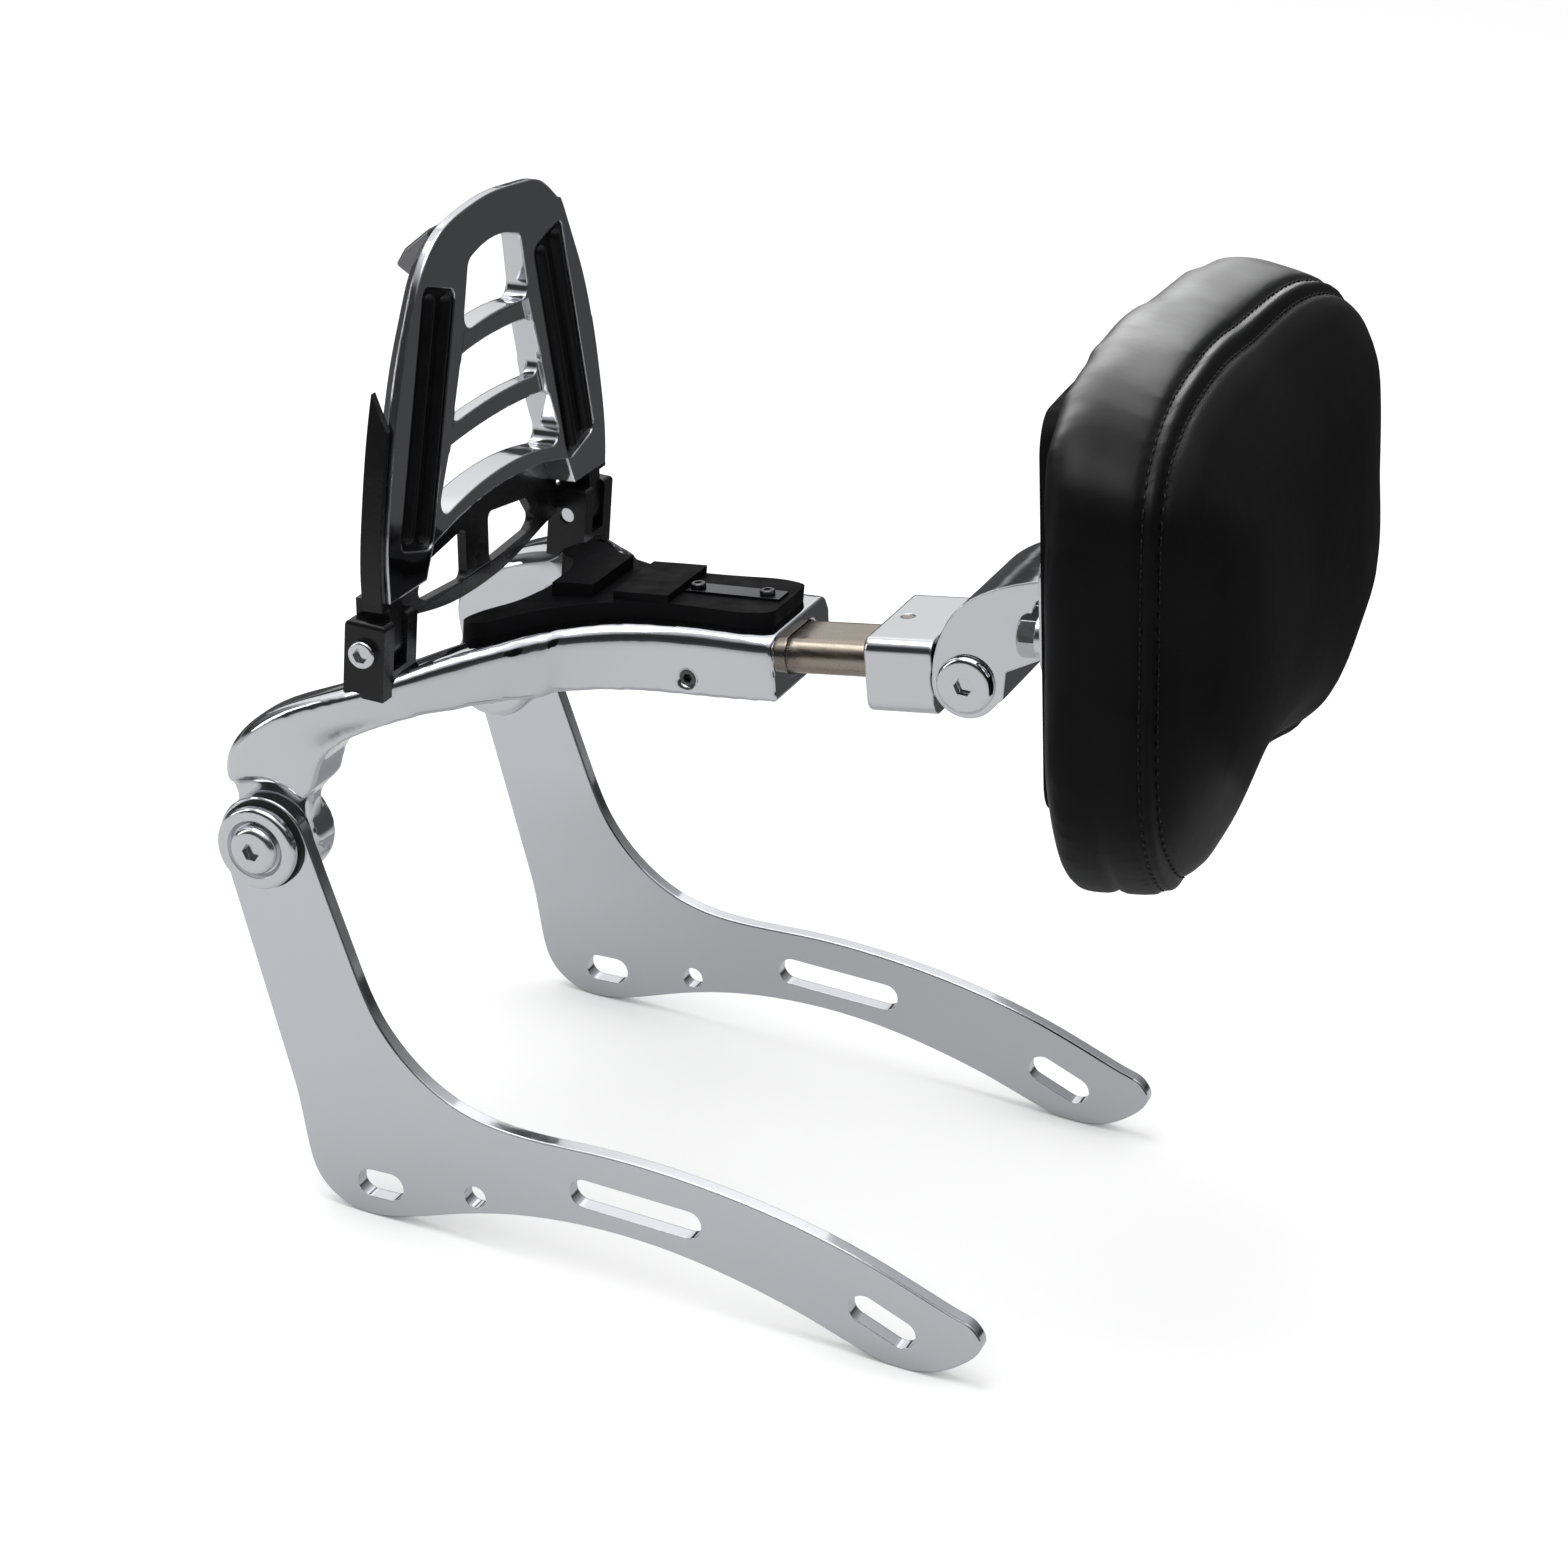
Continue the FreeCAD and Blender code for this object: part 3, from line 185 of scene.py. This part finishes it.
def skin_of(node, name):
    """A copy of a CAD node's surface, free to be worked on."""
    skin = nodes[node].copy()
    skin.data = nodes[node].data.copy()
    skin.name = name
    skin.parent = None
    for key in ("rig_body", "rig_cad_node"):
        if key in skin:
            del skin[key]
    bpy.context.scene.collection.objects.link(skin)
    return skin


def settle(piece):
    """The piece's modifiers are worked into its mesh."""
    bpy.context.view_layer.update()
    seen = piece.evaluated_get(bpy.context.evaluated_depsgraph_get())
    made = bpy.data.meshes.new_from_object(seen)
    piece.modifiers.clear()
    piece.data = made


def relax(piece, times, group=""):
    """The surface is eased by its neighbours, as emery and a buff round off corners."""
    smooth = piece.modifiers.new("relax", "SMOOTH")
    smooth.vertex_group = group
    smooth.factor = 0.5
    smooth.iterations = times
    settle(piece)


def even_mesh(piece, size):
    """Its triangles give way to an even grid of this size."""
    remesh = piece.modifiers.new("even_mesh", "REMESH")
    remesh.mode = "VOXEL"
    remesh.voxel_size = size
    remesh.use_smooth_shade = True
    settle(piece)


cast_yoke = skin_of("yoke", "buffed_yoke")
even_mesh(cast_yoke, casting_grid)
buffed = cast_yoke.vertex_groups.new(name="buffed")
for v in cast_yoke.data.vertices:
    share = min(1.0, max(0.0, (v.co.x - housing_from) / (housing_full - housing_from)))
    buffed.add([v.index], 1.0 - share * (1.0 - buffed_least), "REPLACE")
relax(cast_yoke, buffing, "buffed")
cast_yoke.vertex_groups.clear()
cast_yoke.data.shade_smooth()
cast_yoke.data.materials.clear()
cast_yoke.data.materials.append(polished_casting)
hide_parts("yoke")
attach(cast_yoke, "yoke")

oiled_screw_colour = (0.10, 0.10, 0.105, 1.0)
oiled_screw = bright_metal("oiled_screw", oiled_screw_colour,
                           rough=0.3, ripple=0.00002, ripple_grain=500.0, edge=0.0003)
dress(oiled_screw, "post_set_screw")

# Cover. A black moulding lies on the housing with two raised lobes behind,
# and a short steel strap with two screws holds it down.
moulding_colour = (0.0042, 0.0042, 0.0048, 1.0)
black_moulding = dull_black("black_moulding", moulding_colour,
                            rough=0.5, pit=0.00003, pit_grain=700.0, gloss=0.03)
dress(black_moulding, "yoke_cover", "pad_back_board")
strap_colour = (0.055, 0.057, 0.062, 1.0)
strap_steel = bright_metal("strap_steel", strap_colour,
                           rough=0.25, ripple=0.00002, ripple_grain=300.0, edge=0.0003)
dress(strap_steel, "cover_strap")
dress(oiled_screw, "cover_screws")

# Rack hinge. Clevis blocks screwed on the yoke's shoulders carry the
# black-coated bracket on which the rack folds, on two socket screws.
coated_colour = (0.004, 0.004, 0.0045, 1.0)
black_coated = dull_black("black_coated", coated_colour,
                          rough=0.24, pit=0.00003, pit_grain=500.0, gloss=0.3)
dress(black_coated, "rack_hinge_bracket", "rack_hinge_blocks")
dress(bright_screw, "rack_bracket_screws", "rack_hinge_screws")

# Luggage rack. A second polished casting, two tapering rails joined by
# three rungs, with the windows left open for straps.
rack_casting = bright_metal("rack_casting", casting_colour,
                            rough=0.07, ripple=0.00012, ripple_grain=55.0, edge=0.0012)
dress(rack_casting, "luggage_rack")

# Rubber strips. One ribbed strip is pressed into a groove of each rail,
# so that a bag doesn't slide on the chrome.
rubber_colour = (0.002, 0.002, 0.0024, 1.0)
strip_rubber = dull_black("strip_rubber", rubber_colour,
                          rough=0.34, pit=0.00005, pit_grain=1100.0, gloss=0.16)
dress(strip_rubber, "rack_rubber_strips")

# Strap hooks. Two bent steel pegs behind the top of the rack, for the ends
# of an elastic strap, plated with it.
hook_colour = (0.20, 0.20, 0.21, 1.0)
plated_hook = bright_metal("plated_hook", hook_colour,
                           rough=0.3, ripple=0.00003, ripple_grain=300.0, edge=0.0003)
dress(plated_hook, "strap_hooks")

# Post. A flat oval steel bar, ground along its length, slides in the
# housing and carries the knuckle block on a cross pin.
bar_colour = (0.33, 0.285, 0.235, 1.0)
bar_material, n, link, bar_shader = nodes_of("ground_bar")
bar_shader.inputs["Base Color"].default_value = bar_colour
bar_shader.inputs["Metallic"].default_value = 1.0
bar_place = n.new("ShaderNodeTexCoord")
bar_along = n.new("ShaderNodeMapping")
bar_along.inputs["Rotation"].default_value = (0.0, math.radians(9.5), 0.0)
bar_along.inputs["Scale"].default_value = (0.04, 1.0, 1.0)
bar_lines = n.new("ShaderNodeTexNoise")
bar_lines.inputs["Scale"].default_value = 700.0
bar_lines.inputs["Detail"].default_value = 3.0
bar_rough = n.new("ShaderNodeMapRange")
bar_rough.inputs["To Min"].default_value = 0.12
bar_rough.inputs["To Max"].default_value = 0.38
bar_bump = n.new("ShaderNodeBump")
bar_bump.inputs["Strength"].default_value = 0.25
bar_bump.inputs["Distance"].default_value = 0.00004
link.new(bar_place.outputs["Object"], bar_along.inputs["Vector"])
link.new(bar_along.outputs["Vector"], bar_lines.inputs["Vector"])
link.new(bar_lines.outputs["Fac"], bar_rough.inputs["Value"])
link.new(bar_rough.outputs["Result"], bar_shader.inputs["Roughness"])
link.new(bar_lines.outputs["Fac"], bar_bump.inputs["Height"])
link.new(bar_bump.outputs["Normal"], bar_shader.inputs["Normal"])
dress(bar_material, "pad_post", "post_cross_pin")

# Knuckle. A domed socket-head bolt clamps the bracket's ears on the
# block, and holds the pad at the angle it is set to.
dress(turned_washer, "knuckle_bolt")
dress(bright_screw, "knuckle_nut", "bracket_bolts")
plated_knuckle = bright_metal("plated_knuckle", casting_colour,
                              rough=0.07, ripple=0.00008, ripple_grain=45.0, edge=0.0012)
dress(plated_knuckle, "knuckle_block", "pad_bracket")

# Pad. Foam on a stiff board under a black vinyl cover, sewn from a wide side
# band, a narrow welt band and the front panel. The foam pushes the cover out,
# and the two seams between the bands pull it in.
pad_seat = Vector((0.17202, 0.0, 0.25082))
pad_out = Vector((0.99255, 0.0, 0.12187))
pad_up = Vector((-0.12187, 0.0, 0.99255))
pad_wrap = 1.0                  # radius to which the pad curves round the passenger
cover_back = 0.0185             # the cover is stapled behind this depth
skin_size = 0.0035
slack, slack_over = 0.0026, 0.008
swell = 4.0
swell_cap = 0.0042
swell_steps = 20
swell_evened = 60               # rounds in which each point's swell is shared with its neighbours
rim_deep = 0.0300               # behind this depth the cover rounds over the foam's rear edge
rim_over = 0.008
seams = (0.0478, 0.0532)
seam_wide = 0.00125
seam_deep = 0.0011
welt_rise, welt_wide = 0.0005, 0.0016
panel_rise, panel_rise_at, panel_rise_wide = 0.0008, 0.006, 0.004
fold_depth = 0.0335             # a fold along the lower side of the side band
fold_deep, fold_wide = 0.0014, 0.0016
fold_from, fold_over = 0.035, 0.04
waver, waver_grain = 0.0004, 22.0
waver_from, waver_over = 0.02, 0.01
top_rise, top_rise_at, top_rise_wide = 0.0032, 0.025, 0.022
top_from, top_over = 0.045, 0.03

pad = skin_of("pad_cushion", "pad_cover")


def depth_in_pad(p):
    """How far a point lies in front of the bracket's face, along the pad's curve."""
    return (p - pad_seat).dot(pad_out) - p.y ** 2 / (2 * pad_wrap)


def blow_up(piece, pressure, steps, cap):
    """The foam pushes the cover out from its stapled edge, no point further than the cap."""
    start_mesh = piece.data.copy()
    before = [v.co.copy() for v in start_mesh.vertices]
    stapled = piece.vertex_groups.new(name="stapled")
    stapled.add([i for i, p in enumerate(before) if depth_in_pad(p) < cover_back], 1.0, "REPLACE")
    cloth = piece.modifiers.new("cover", "CLOTH")
    cloth.settings.quality = 5
    cloth.settings.use_pressure = True
    cloth.settings.uniform_pressure_force = pressure
    cloth.settings.vertex_group_mass = "stapled"
    cloth.settings.bending_stiffness = 2.0
    cloth.settings.effector_weights.gravity = 0.0
    cloth.point_cache.frame_start = 1
    cloth.point_cache.frame_end = steps
    for step in range(1, steps + 1):
        bpy.context.scene.frame_set(step)
    settle(piece)
    bpy.context.scene.frame_set(1)
    grid = bmesh.new()
    grid.from_mesh(piece.data)
    around = [[e.other_vert(v).index for e in v.link_edges] for v in grid.verts]
    grid.free()
    out = [v.normal.copy() for v in start_mesh.vertices]
    lift = []
    for v, start, outward in zip(piece.data.vertices, before, out):
        lift.append(min(cap, max(-cap, (v.co - start).dot(outward))))
    for k in range(swell_evened):
        lift = [0.5 * here + 0.5 * sum(lift[m] for m in near) / len(near)
                for here, near in zip(lift, around)]
    for v, start, outward, risen in zip(piece.data.vertices, before, out, lift):
        v.co = start + outward * risen


def bell(away, wide):
    """1 on the line, fading to nothing on both sides of it."""
    return math.exp(-(away / wide) ** 2)


def ramp_up(value, start, over):
    """0 up to the start, then rising evenly to 1."""
    return min(1.0, max(0.0, (value - start) / over))


even_mesh(pad, skin_size)
relax(pad, 4)
for v in pad.data.vertices:
    v.co -= v.normal * slack * ramp_up(depth_in_pad(v.co), cover_back, slack_over)
pad.data.update()
blow_up(pad, swell, swell_steps, swell_cap)
pad.vertex_groups.clear()
relax(pad, 14)
rim = pad.vertex_groups.new(name="rim")
for v in pad.data.vertices:
    rim.add([v.index], min(1.0, max(0.0, (rim_deep - depth_in_pad(v.co)) / rim_over)), "REPLACE")
relax(pad, 36, "rim")
pad.vertex_groups.clear()
subdivide = pad.modifiers.new("skin", "SUBSURF")
subdivide.levels = 1
subdivide.render_levels = 1
settle(pad)
sewn = []
for v in pad.data.vertices:
    depth = depth_in_pad(v.co)
    low = -(v.co - pad_seat).dot(pad_up)
    lift = welt_rise * bell(depth - (seams[0] + seams[1]) / 2, welt_wide)
    lift += panel_rise * bell(depth - seams[1] - panel_rise_at, panel_rise_wide)
    lift -= seam_deep * max(bell(depth - seam, seam_wide) for seam in seams)
    lift -= ramp_up(low, fold_from, fold_over) * fold_deep * bell(depth - fold_depth, fold_wide)
    lift += waver * noise.noise(v.co * waver_grain) * ramp_up(depth, waver_from, waver_over)
    lift += top_rise * bell(depth - top_rise_at, top_rise_wide) * ramp_up(-low, top_from, top_over)
    sewn.append(v.co + v.normal * lift)
for v, place in zip(pad.data.vertices, sewn):
    v.co = place
pad.data.shade_smooth()

vinyl_colour = (0.0015, 0.0015, 0.0018, 1.0)
vinyl_grain = 1250.0            # cells to a metre, the cover's pebbled grain
vinyl, n, link, shader = nodes_of("black_vinyl")
shader.inputs["Specular IOR Level"].default_value = 0.08
place = n.new("ShaderNodeTexCoord")
pebble = n.new("ShaderNodeTexVoronoi")
pebble.feature = "DISTANCE_TO_EDGE"
pebble.inputs["Scale"].default_value = vinyl_grain
pebble_bump = n.new("ShaderNodeBump")
pebble_bump.inputs["Strength"].default_value = 0.22
pebble_bump.inputs["Distance"].default_value = 0.00008
link.new(place.outputs["Object"], pebble.inputs["Vector"])
link.new(pebble.outputs["Distance"], pebble_bump.inputs["Height"])
crease, crease_spread = spread_of(n, link, grain=140.0, low=0.0, high=1.0, detail=4.0)
crease_bump = n.new("ShaderNodeBump")
crease_bump.inputs["Strength"].default_value = 0.35
crease_bump.inputs["Distance"].default_value = 0.0001
link.new(crease_spread.outputs["Result"], crease_bump.inputs["Height"])
link.new(pebble_bump.outputs["Normal"], crease_bump.inputs["Normal"])
link.new(crease_bump.outputs["Normal"], shader.inputs["Normal"])
hand, hand_spread = spread_of(n, link, grain=25.0, low=0.38, high=0.48)
link.new(hand_spread.outputs["Result"], shader.inputs["Roughness"])
worn = n.new("ShaderNodeMix")
worn.data_type = "RGBA"
worn.inputs["A"].default_value = vinyl_colour
worn.inputs["B"].default_value = (0.0032, 0.0032, 0.0037, 1.0)
link.new(hand.outputs["Fac"], worn.inputs["Factor"])
link.new(worn.outputs["Result"], shader.inputs["Base Color"])
pad.data.materials.clear()
pad.data.materials.append(vinyl)
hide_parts("pad_cushion")
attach(pad, "pad")

# Stitches. Bonded black thread sinks into both seams, a stitch every
# 4.5 mm, pulled tight at its two needle holes.
stitch_pitch = 0.0045
stitch_long = 0.0034
thread_r = 0.00042


def seam_line(piece, at_depth):
    """Points and normals round the cover where it lies at this depth, in order."""
    grid = bmesh.new()
    grid.from_mesh(piece.data)
    crossing = {}
    for edge in grid.edges:
        a, b = edge.verts
        over, under = depth_in_pad(a.co) - at_depth, depth_in_pad(b.co) - at_depth
        if over * under < 0:
            share = over / (over - under)
            crossing[edge] = (a.co.lerp(b.co, share), a.normal.lerp(b.normal, share))
    longest = []
    while crossing:
        edge = next(iter(crossing))
        line = [crossing.pop(edge)]
        following = True
        while following:
            following = False
            for face in edge.link_faces:
                ahead = [e for e in face.edges if e in crossing]
                if ahead:
                    edge = ahead[0]
                    line.append(crossing.pop(edge))
                    following = True
                    break
        if len(line) > len(longest):
            longest = line
    grid.free()
    return longest


def along(line, steps_of):
    """Places at even steps along a closed line, with the cover's normal there."""
    points = line + [line[0]]
    gone = [0.0]
    for a, b in zip(points, points[1:]):
        gone.append(gone[-1] + (b[0] - a[0]).length)
    at = 0
    found = []
    for reach in steps_of(gone[-1]):
        while gone[at + 1] < reach:
            at += 1
        share = (reach - gone[at]) / max(1e-9, gone[at + 1] - gone[at])
        place = points[at][0].lerp(points[at + 1][0], share)
        found.append((place, points[at][1].lerp(points[at + 1][1], share).normalized()))
    return found


def sew(name, line):
    """One row of stitches, each a short arched thread that dips at both ends."""
    grid = bmesh.new()
    parts = 6
    pieces = int(sum((b[0] - a[0]).length for a, b in zip(line, line[1:])) / stitch_pitch)
    steps = [(k + stitch_long / stitch_pitch * (j / parts)) / pieces
             for k in range(pieces) for j in range(parts + 1)]
    places = along(line, lambda total: [share * total for share in steps])
    for k in range(pieces):
        run = places[k * (parts + 1):(k + 1) * (parts + 1)]
        forward = (run[-1][0] - run[0][0]).normalized()
        rings = []
        for j, (place, normal) in enumerate(run):
            arch = math.sin(math.pi * j / parts)
            side = forward.cross(normal).normalized()
            thick = thread_r * (0.45 + 0.55 * arch ** 0.5)
            centre = place + normal * thread_r * (1.3 * arch - 0.6)
            rings.append([])
            for turn in (math.pi * q / 3 for q in range(6)):
                outward = side * math.cos(turn) + normal * math.sin(turn)
                rings[-1].append(grid.verts.new(centre + outward * thick))
        for ring, ahead in zip(rings, rings[1:]):
            for q in range(6):
                after = (q + 1) % 6
                grid.faces.new((ring[q], ring[after], ahead[after], ahead[q]))
        grid.faces.new(rings[0][::-1])
        grid.faces.new(rings[-1])
    bmesh.ops.recalc_face_normals(grid, faces=grid.faces)
    mesh = bpy.data.meshes.new(name)
    grid.to_mesh(mesh)
    grid.free()
    mesh.shade_smooth()
    row = bpy.data.objects.new(name, mesh)
    bpy.context.scene.collection.objects.link(row)
    return row


thread_colour = (0.003, 0.003, 0.0035, 1.0)
thread = dull_black("bonded_thread", thread_colour,
                    rough=0.45, pit=0.00002, pit_grain=2500.0, gloss=0.2)
for row_name, seam in zip(("side_band_stitches", "front_panel_stitches"), seams):
    row = sew(row_name, seam_line(pad, seam))
    row.data.materials.append(thread)
    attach(row, "pad")

# Floor. A plain white sheet under the whole scene, not part of the object.
# Polished metal sees it in a painted reflection colour: greyer, and painted darker still behind
# the object.
floor_size = 16.0
floor_paper = (0.90, 0.90, 0.90, 1)
# Painted reflection: the floor colours that only glossy rays see, grey in front and dark behind
# the object.
painted_reflection_front = (0.50, 0.50, 0.508, 1)
painted_reflection_behind = (0.05, 0.05, 0.052, 1)
painted_dark_from, painted_dark_by = 0.20, 0.42
lowest = cad_box[0].z
floor_mesh = bpy.data.meshes.new("studio_floor")
half = floor_size / 2
floor_mesh.from_pydata(
    [(-half, -half, lowest), (half, -half, lowest), (half, half, lowest), (-half, half, lowest)],
    [], [(0, 1, 2, 3)])
floor = bpy.data.objects.new("studio_floor", floor_mesh)
bpy.context.scene.collection.objects.link(floor)
floor_white, n, link, shader = nodes_of("floor_white")
shader.inputs["Roughness"].default_value = 0.9
shader.inputs["Specular IOR Level"].default_value = 0.1
place = n.new("ShaderNodeTexCoord")
split = n.new("ShaderNodeSeparateXYZ")
painted_dark_mask = n.new("ShaderNodeMapRange")
painted_dark_mask.interpolation_type = "SMOOTHSTEP"
painted_dark_mask.inputs["From Min"].default_value = painted_dark_from
painted_dark_mask.inputs["From Max"].default_value = painted_dark_by
# Painted reflection: glossy rays see the floor painted grey, and painted dark behind the object.
painted_reflection_colour = n.new("ShaderNodeMix")
painted_reflection_colour.data_type = "RGBA"
painted_reflection_colour.inputs["A"].default_value = painted_reflection_front
painted_reflection_colour.inputs["B"].default_value = painted_reflection_behind
ray = n.new("ShaderNodeLightPath")
floor_colour = n.new("ShaderNodeMix")
floor_colour.data_type = "RGBA"
floor_colour.inputs["A"].default_value = floor_paper
link.new(place.outputs["Object"], split.inputs["Vector"])
link.new(split.outputs["Y"], painted_dark_mask.inputs["Value"])
link.new(painted_dark_mask.outputs["Result"], painted_reflection_colour.inputs["Factor"])
link.new(ray.outputs["Is Glossy Ray"], floor_colour.inputs["Factor"])
link.new(painted_reflection_colour.outputs["Result"], floor_colour.inputs["B"])
link.new(floor_colour.outputs["Result"], shader.inputs["Base Color"])
floor.data.materials.append(floor_white)

# Light. A white room with soft boxes above and beside the object. What the
# polished metal mirrors of it is darker: low down in front, and in a thin
# line at the horizon behind.
world = bpy.data.worlds.new("studio")
bpy.context.scene.world = world
world.use_nodes = True
n, link = world.node_tree.nodes, world.node_tree.links
room = n["Background"]
where = n.new("ShaderNodeTexCoord")
split = n.new("ShaderNodeSeparateXYZ")
link.new(where.outputs["Generated"], split.inputs["Vector"])


def belt(name, stops):
    """Brightness of the room by height, as polished metal sees it."""
    ramp = n.new("ShaderNodeValToRGB")
    ramp.name = name
    for at, value in stops[1:-1]:
        ramp.color_ramp.elements.new(at).color = (value, value, value * 1.03, 1)
    for end, (at, value) in ((0, stops[0]), (len(stops) - 1, stops[-1])):
        ramp.color_ramp.elements[end].color = (value, value, value * 1.03, 1)
    link.new(split.outputs["Z"], ramp.inputs["Fac"])
    return ramp


before_it = belt("camera_side", ((0.0, 0.40), (0.04, 0.06), (0.30, 0.03), (0.62, 0.04),
                                 (0.76, 0.5), (0.88, 0.95), (1.0, 1.0)))
behind_it = belt("far_side", ((0.0, 0.30), (0.02, 0.04), (0.10, 0.04), (0.2, 0.12),
                              (0.5, 0.3), (0.75, 1.0), (1.0, 1.0)))
side_of_it = n.new("ShaderNodeMapRange")
side_of_it.interpolation_type = "SMOOTHSTEP"
side_of_it.inputs["From Min"].default_value = -0.32
side_of_it.inputs["From Max"].default_value = 0.08
link.new(split.outputs["Y"], side_of_it.inputs["Value"])
mirrored_room = n.new("ShaderNodeMix")
mirrored_room.data_type = "RGBA"
link.new(side_of_it.outputs["Result"], mirrored_room.inputs["Factor"])
link.new(before_it.outputs["Color"], mirrored_room.inputs["A"])
link.new(behind_it.outputs["Color"], mirrored_room.inputs["B"])
ray = n.new("ShaderNodeLightPath")
room_colour = n.new("ShaderNodeMix")
room_colour.data_type = "RGBA"
room_colour.inputs["A"].default_value = (0.93, 0.93, 0.93, 1)
link.new(ray.outputs["Is Glossy Ray"], room_colour.inputs["Factor"])
link.new(mirrored_room.outputs["Result"], room_colour.inputs["B"])
link.new(room_colour.outputs["Result"], room.inputs["Color"])
room.inputs["Strength"].default_value = 1.12


def soft_box(name, at, aim, wide, tall, power):
    """A lamp behind white cloth, turned towards the object."""
    lamp = bpy.data.lights.new(name, "AREA")
    lamp.shape = "RECTANGLE"
    lamp.size, lamp.size_y = wide, tall
    lamp.energy = power
    box = bpy.data.objects.new(name, lamp)
    box.location = at
    box.rotation_euler = (Vector(aim) - Vector(at)).to_track_quat("-Z", "Y").to_euler()
    bpy.context.scene.collection.objects.link(box)
    return box


aim = (0.05, 0.0, 0.12)
soft_box("over", (-0.2, -0.1, 1.7), aim, wide=1.2, tall=1.2, power=14.0)
behind = soft_box("behind", (-1.1, 1.7, 1.2), aim, wide=2.6, tall=1.5, power=9.0)
behind.visible_diffuse = False
glossy_black = bpy.data.collections.new("glossy_black")
glossy_black.objects.link(pad)
glare_behind = soft_box("glare_behind_pad", (-1.0, 1.6, 1.3), aim, wide=2.3, tall=1.2, power=96.0)
glare_over = soft_box("glare_over_pad", (-0.35, -0.65, 1.75), aim, wide=1.3, tall=0.9, power=30.0)
for glare in (glare_behind, glare_over):
    glare.visible_diffuse = False
    glare.light_linking.receiver_collection = glossy_black
soft_box("left", (-1.6, -0.9, 0.9), aim, wide=0.5, tall=1.4, power=6.0)

# Camera. It stands where the object is seen from a little in front of its
# right side and above, and looks past the pad at the rack.
camera_at = Vector((0.4746, -1.0905, 0.6699))
camera_right = Vector((0.92212, 0.37979, 0.07387))
camera_up = Vector((-0.22022, 0.35821, 0.9073))
camera_back = Vector((0.31813, -0.8529, 0.41394))
camera_data = bpy.data.cameras.new("photo_view")
camera_data.lens = 81.229
camera_data.sensor_width = 36.0
camera_data.clip_start = 0.05
camera_data.clip_end = 60.0
camera = bpy.data.objects.new("photo_view", camera_data)
turn = Matrix((camera_right, camera_up, camera_back)).transposed().to_4x4()
camera.matrix_world = Matrix.Translation(camera_at) @ turn
bpy.context.scene.collection.objects.link(camera)
bpy.context.scene.camera = camera
bpy.context.scene.view_settings.view_transform = "Standard"
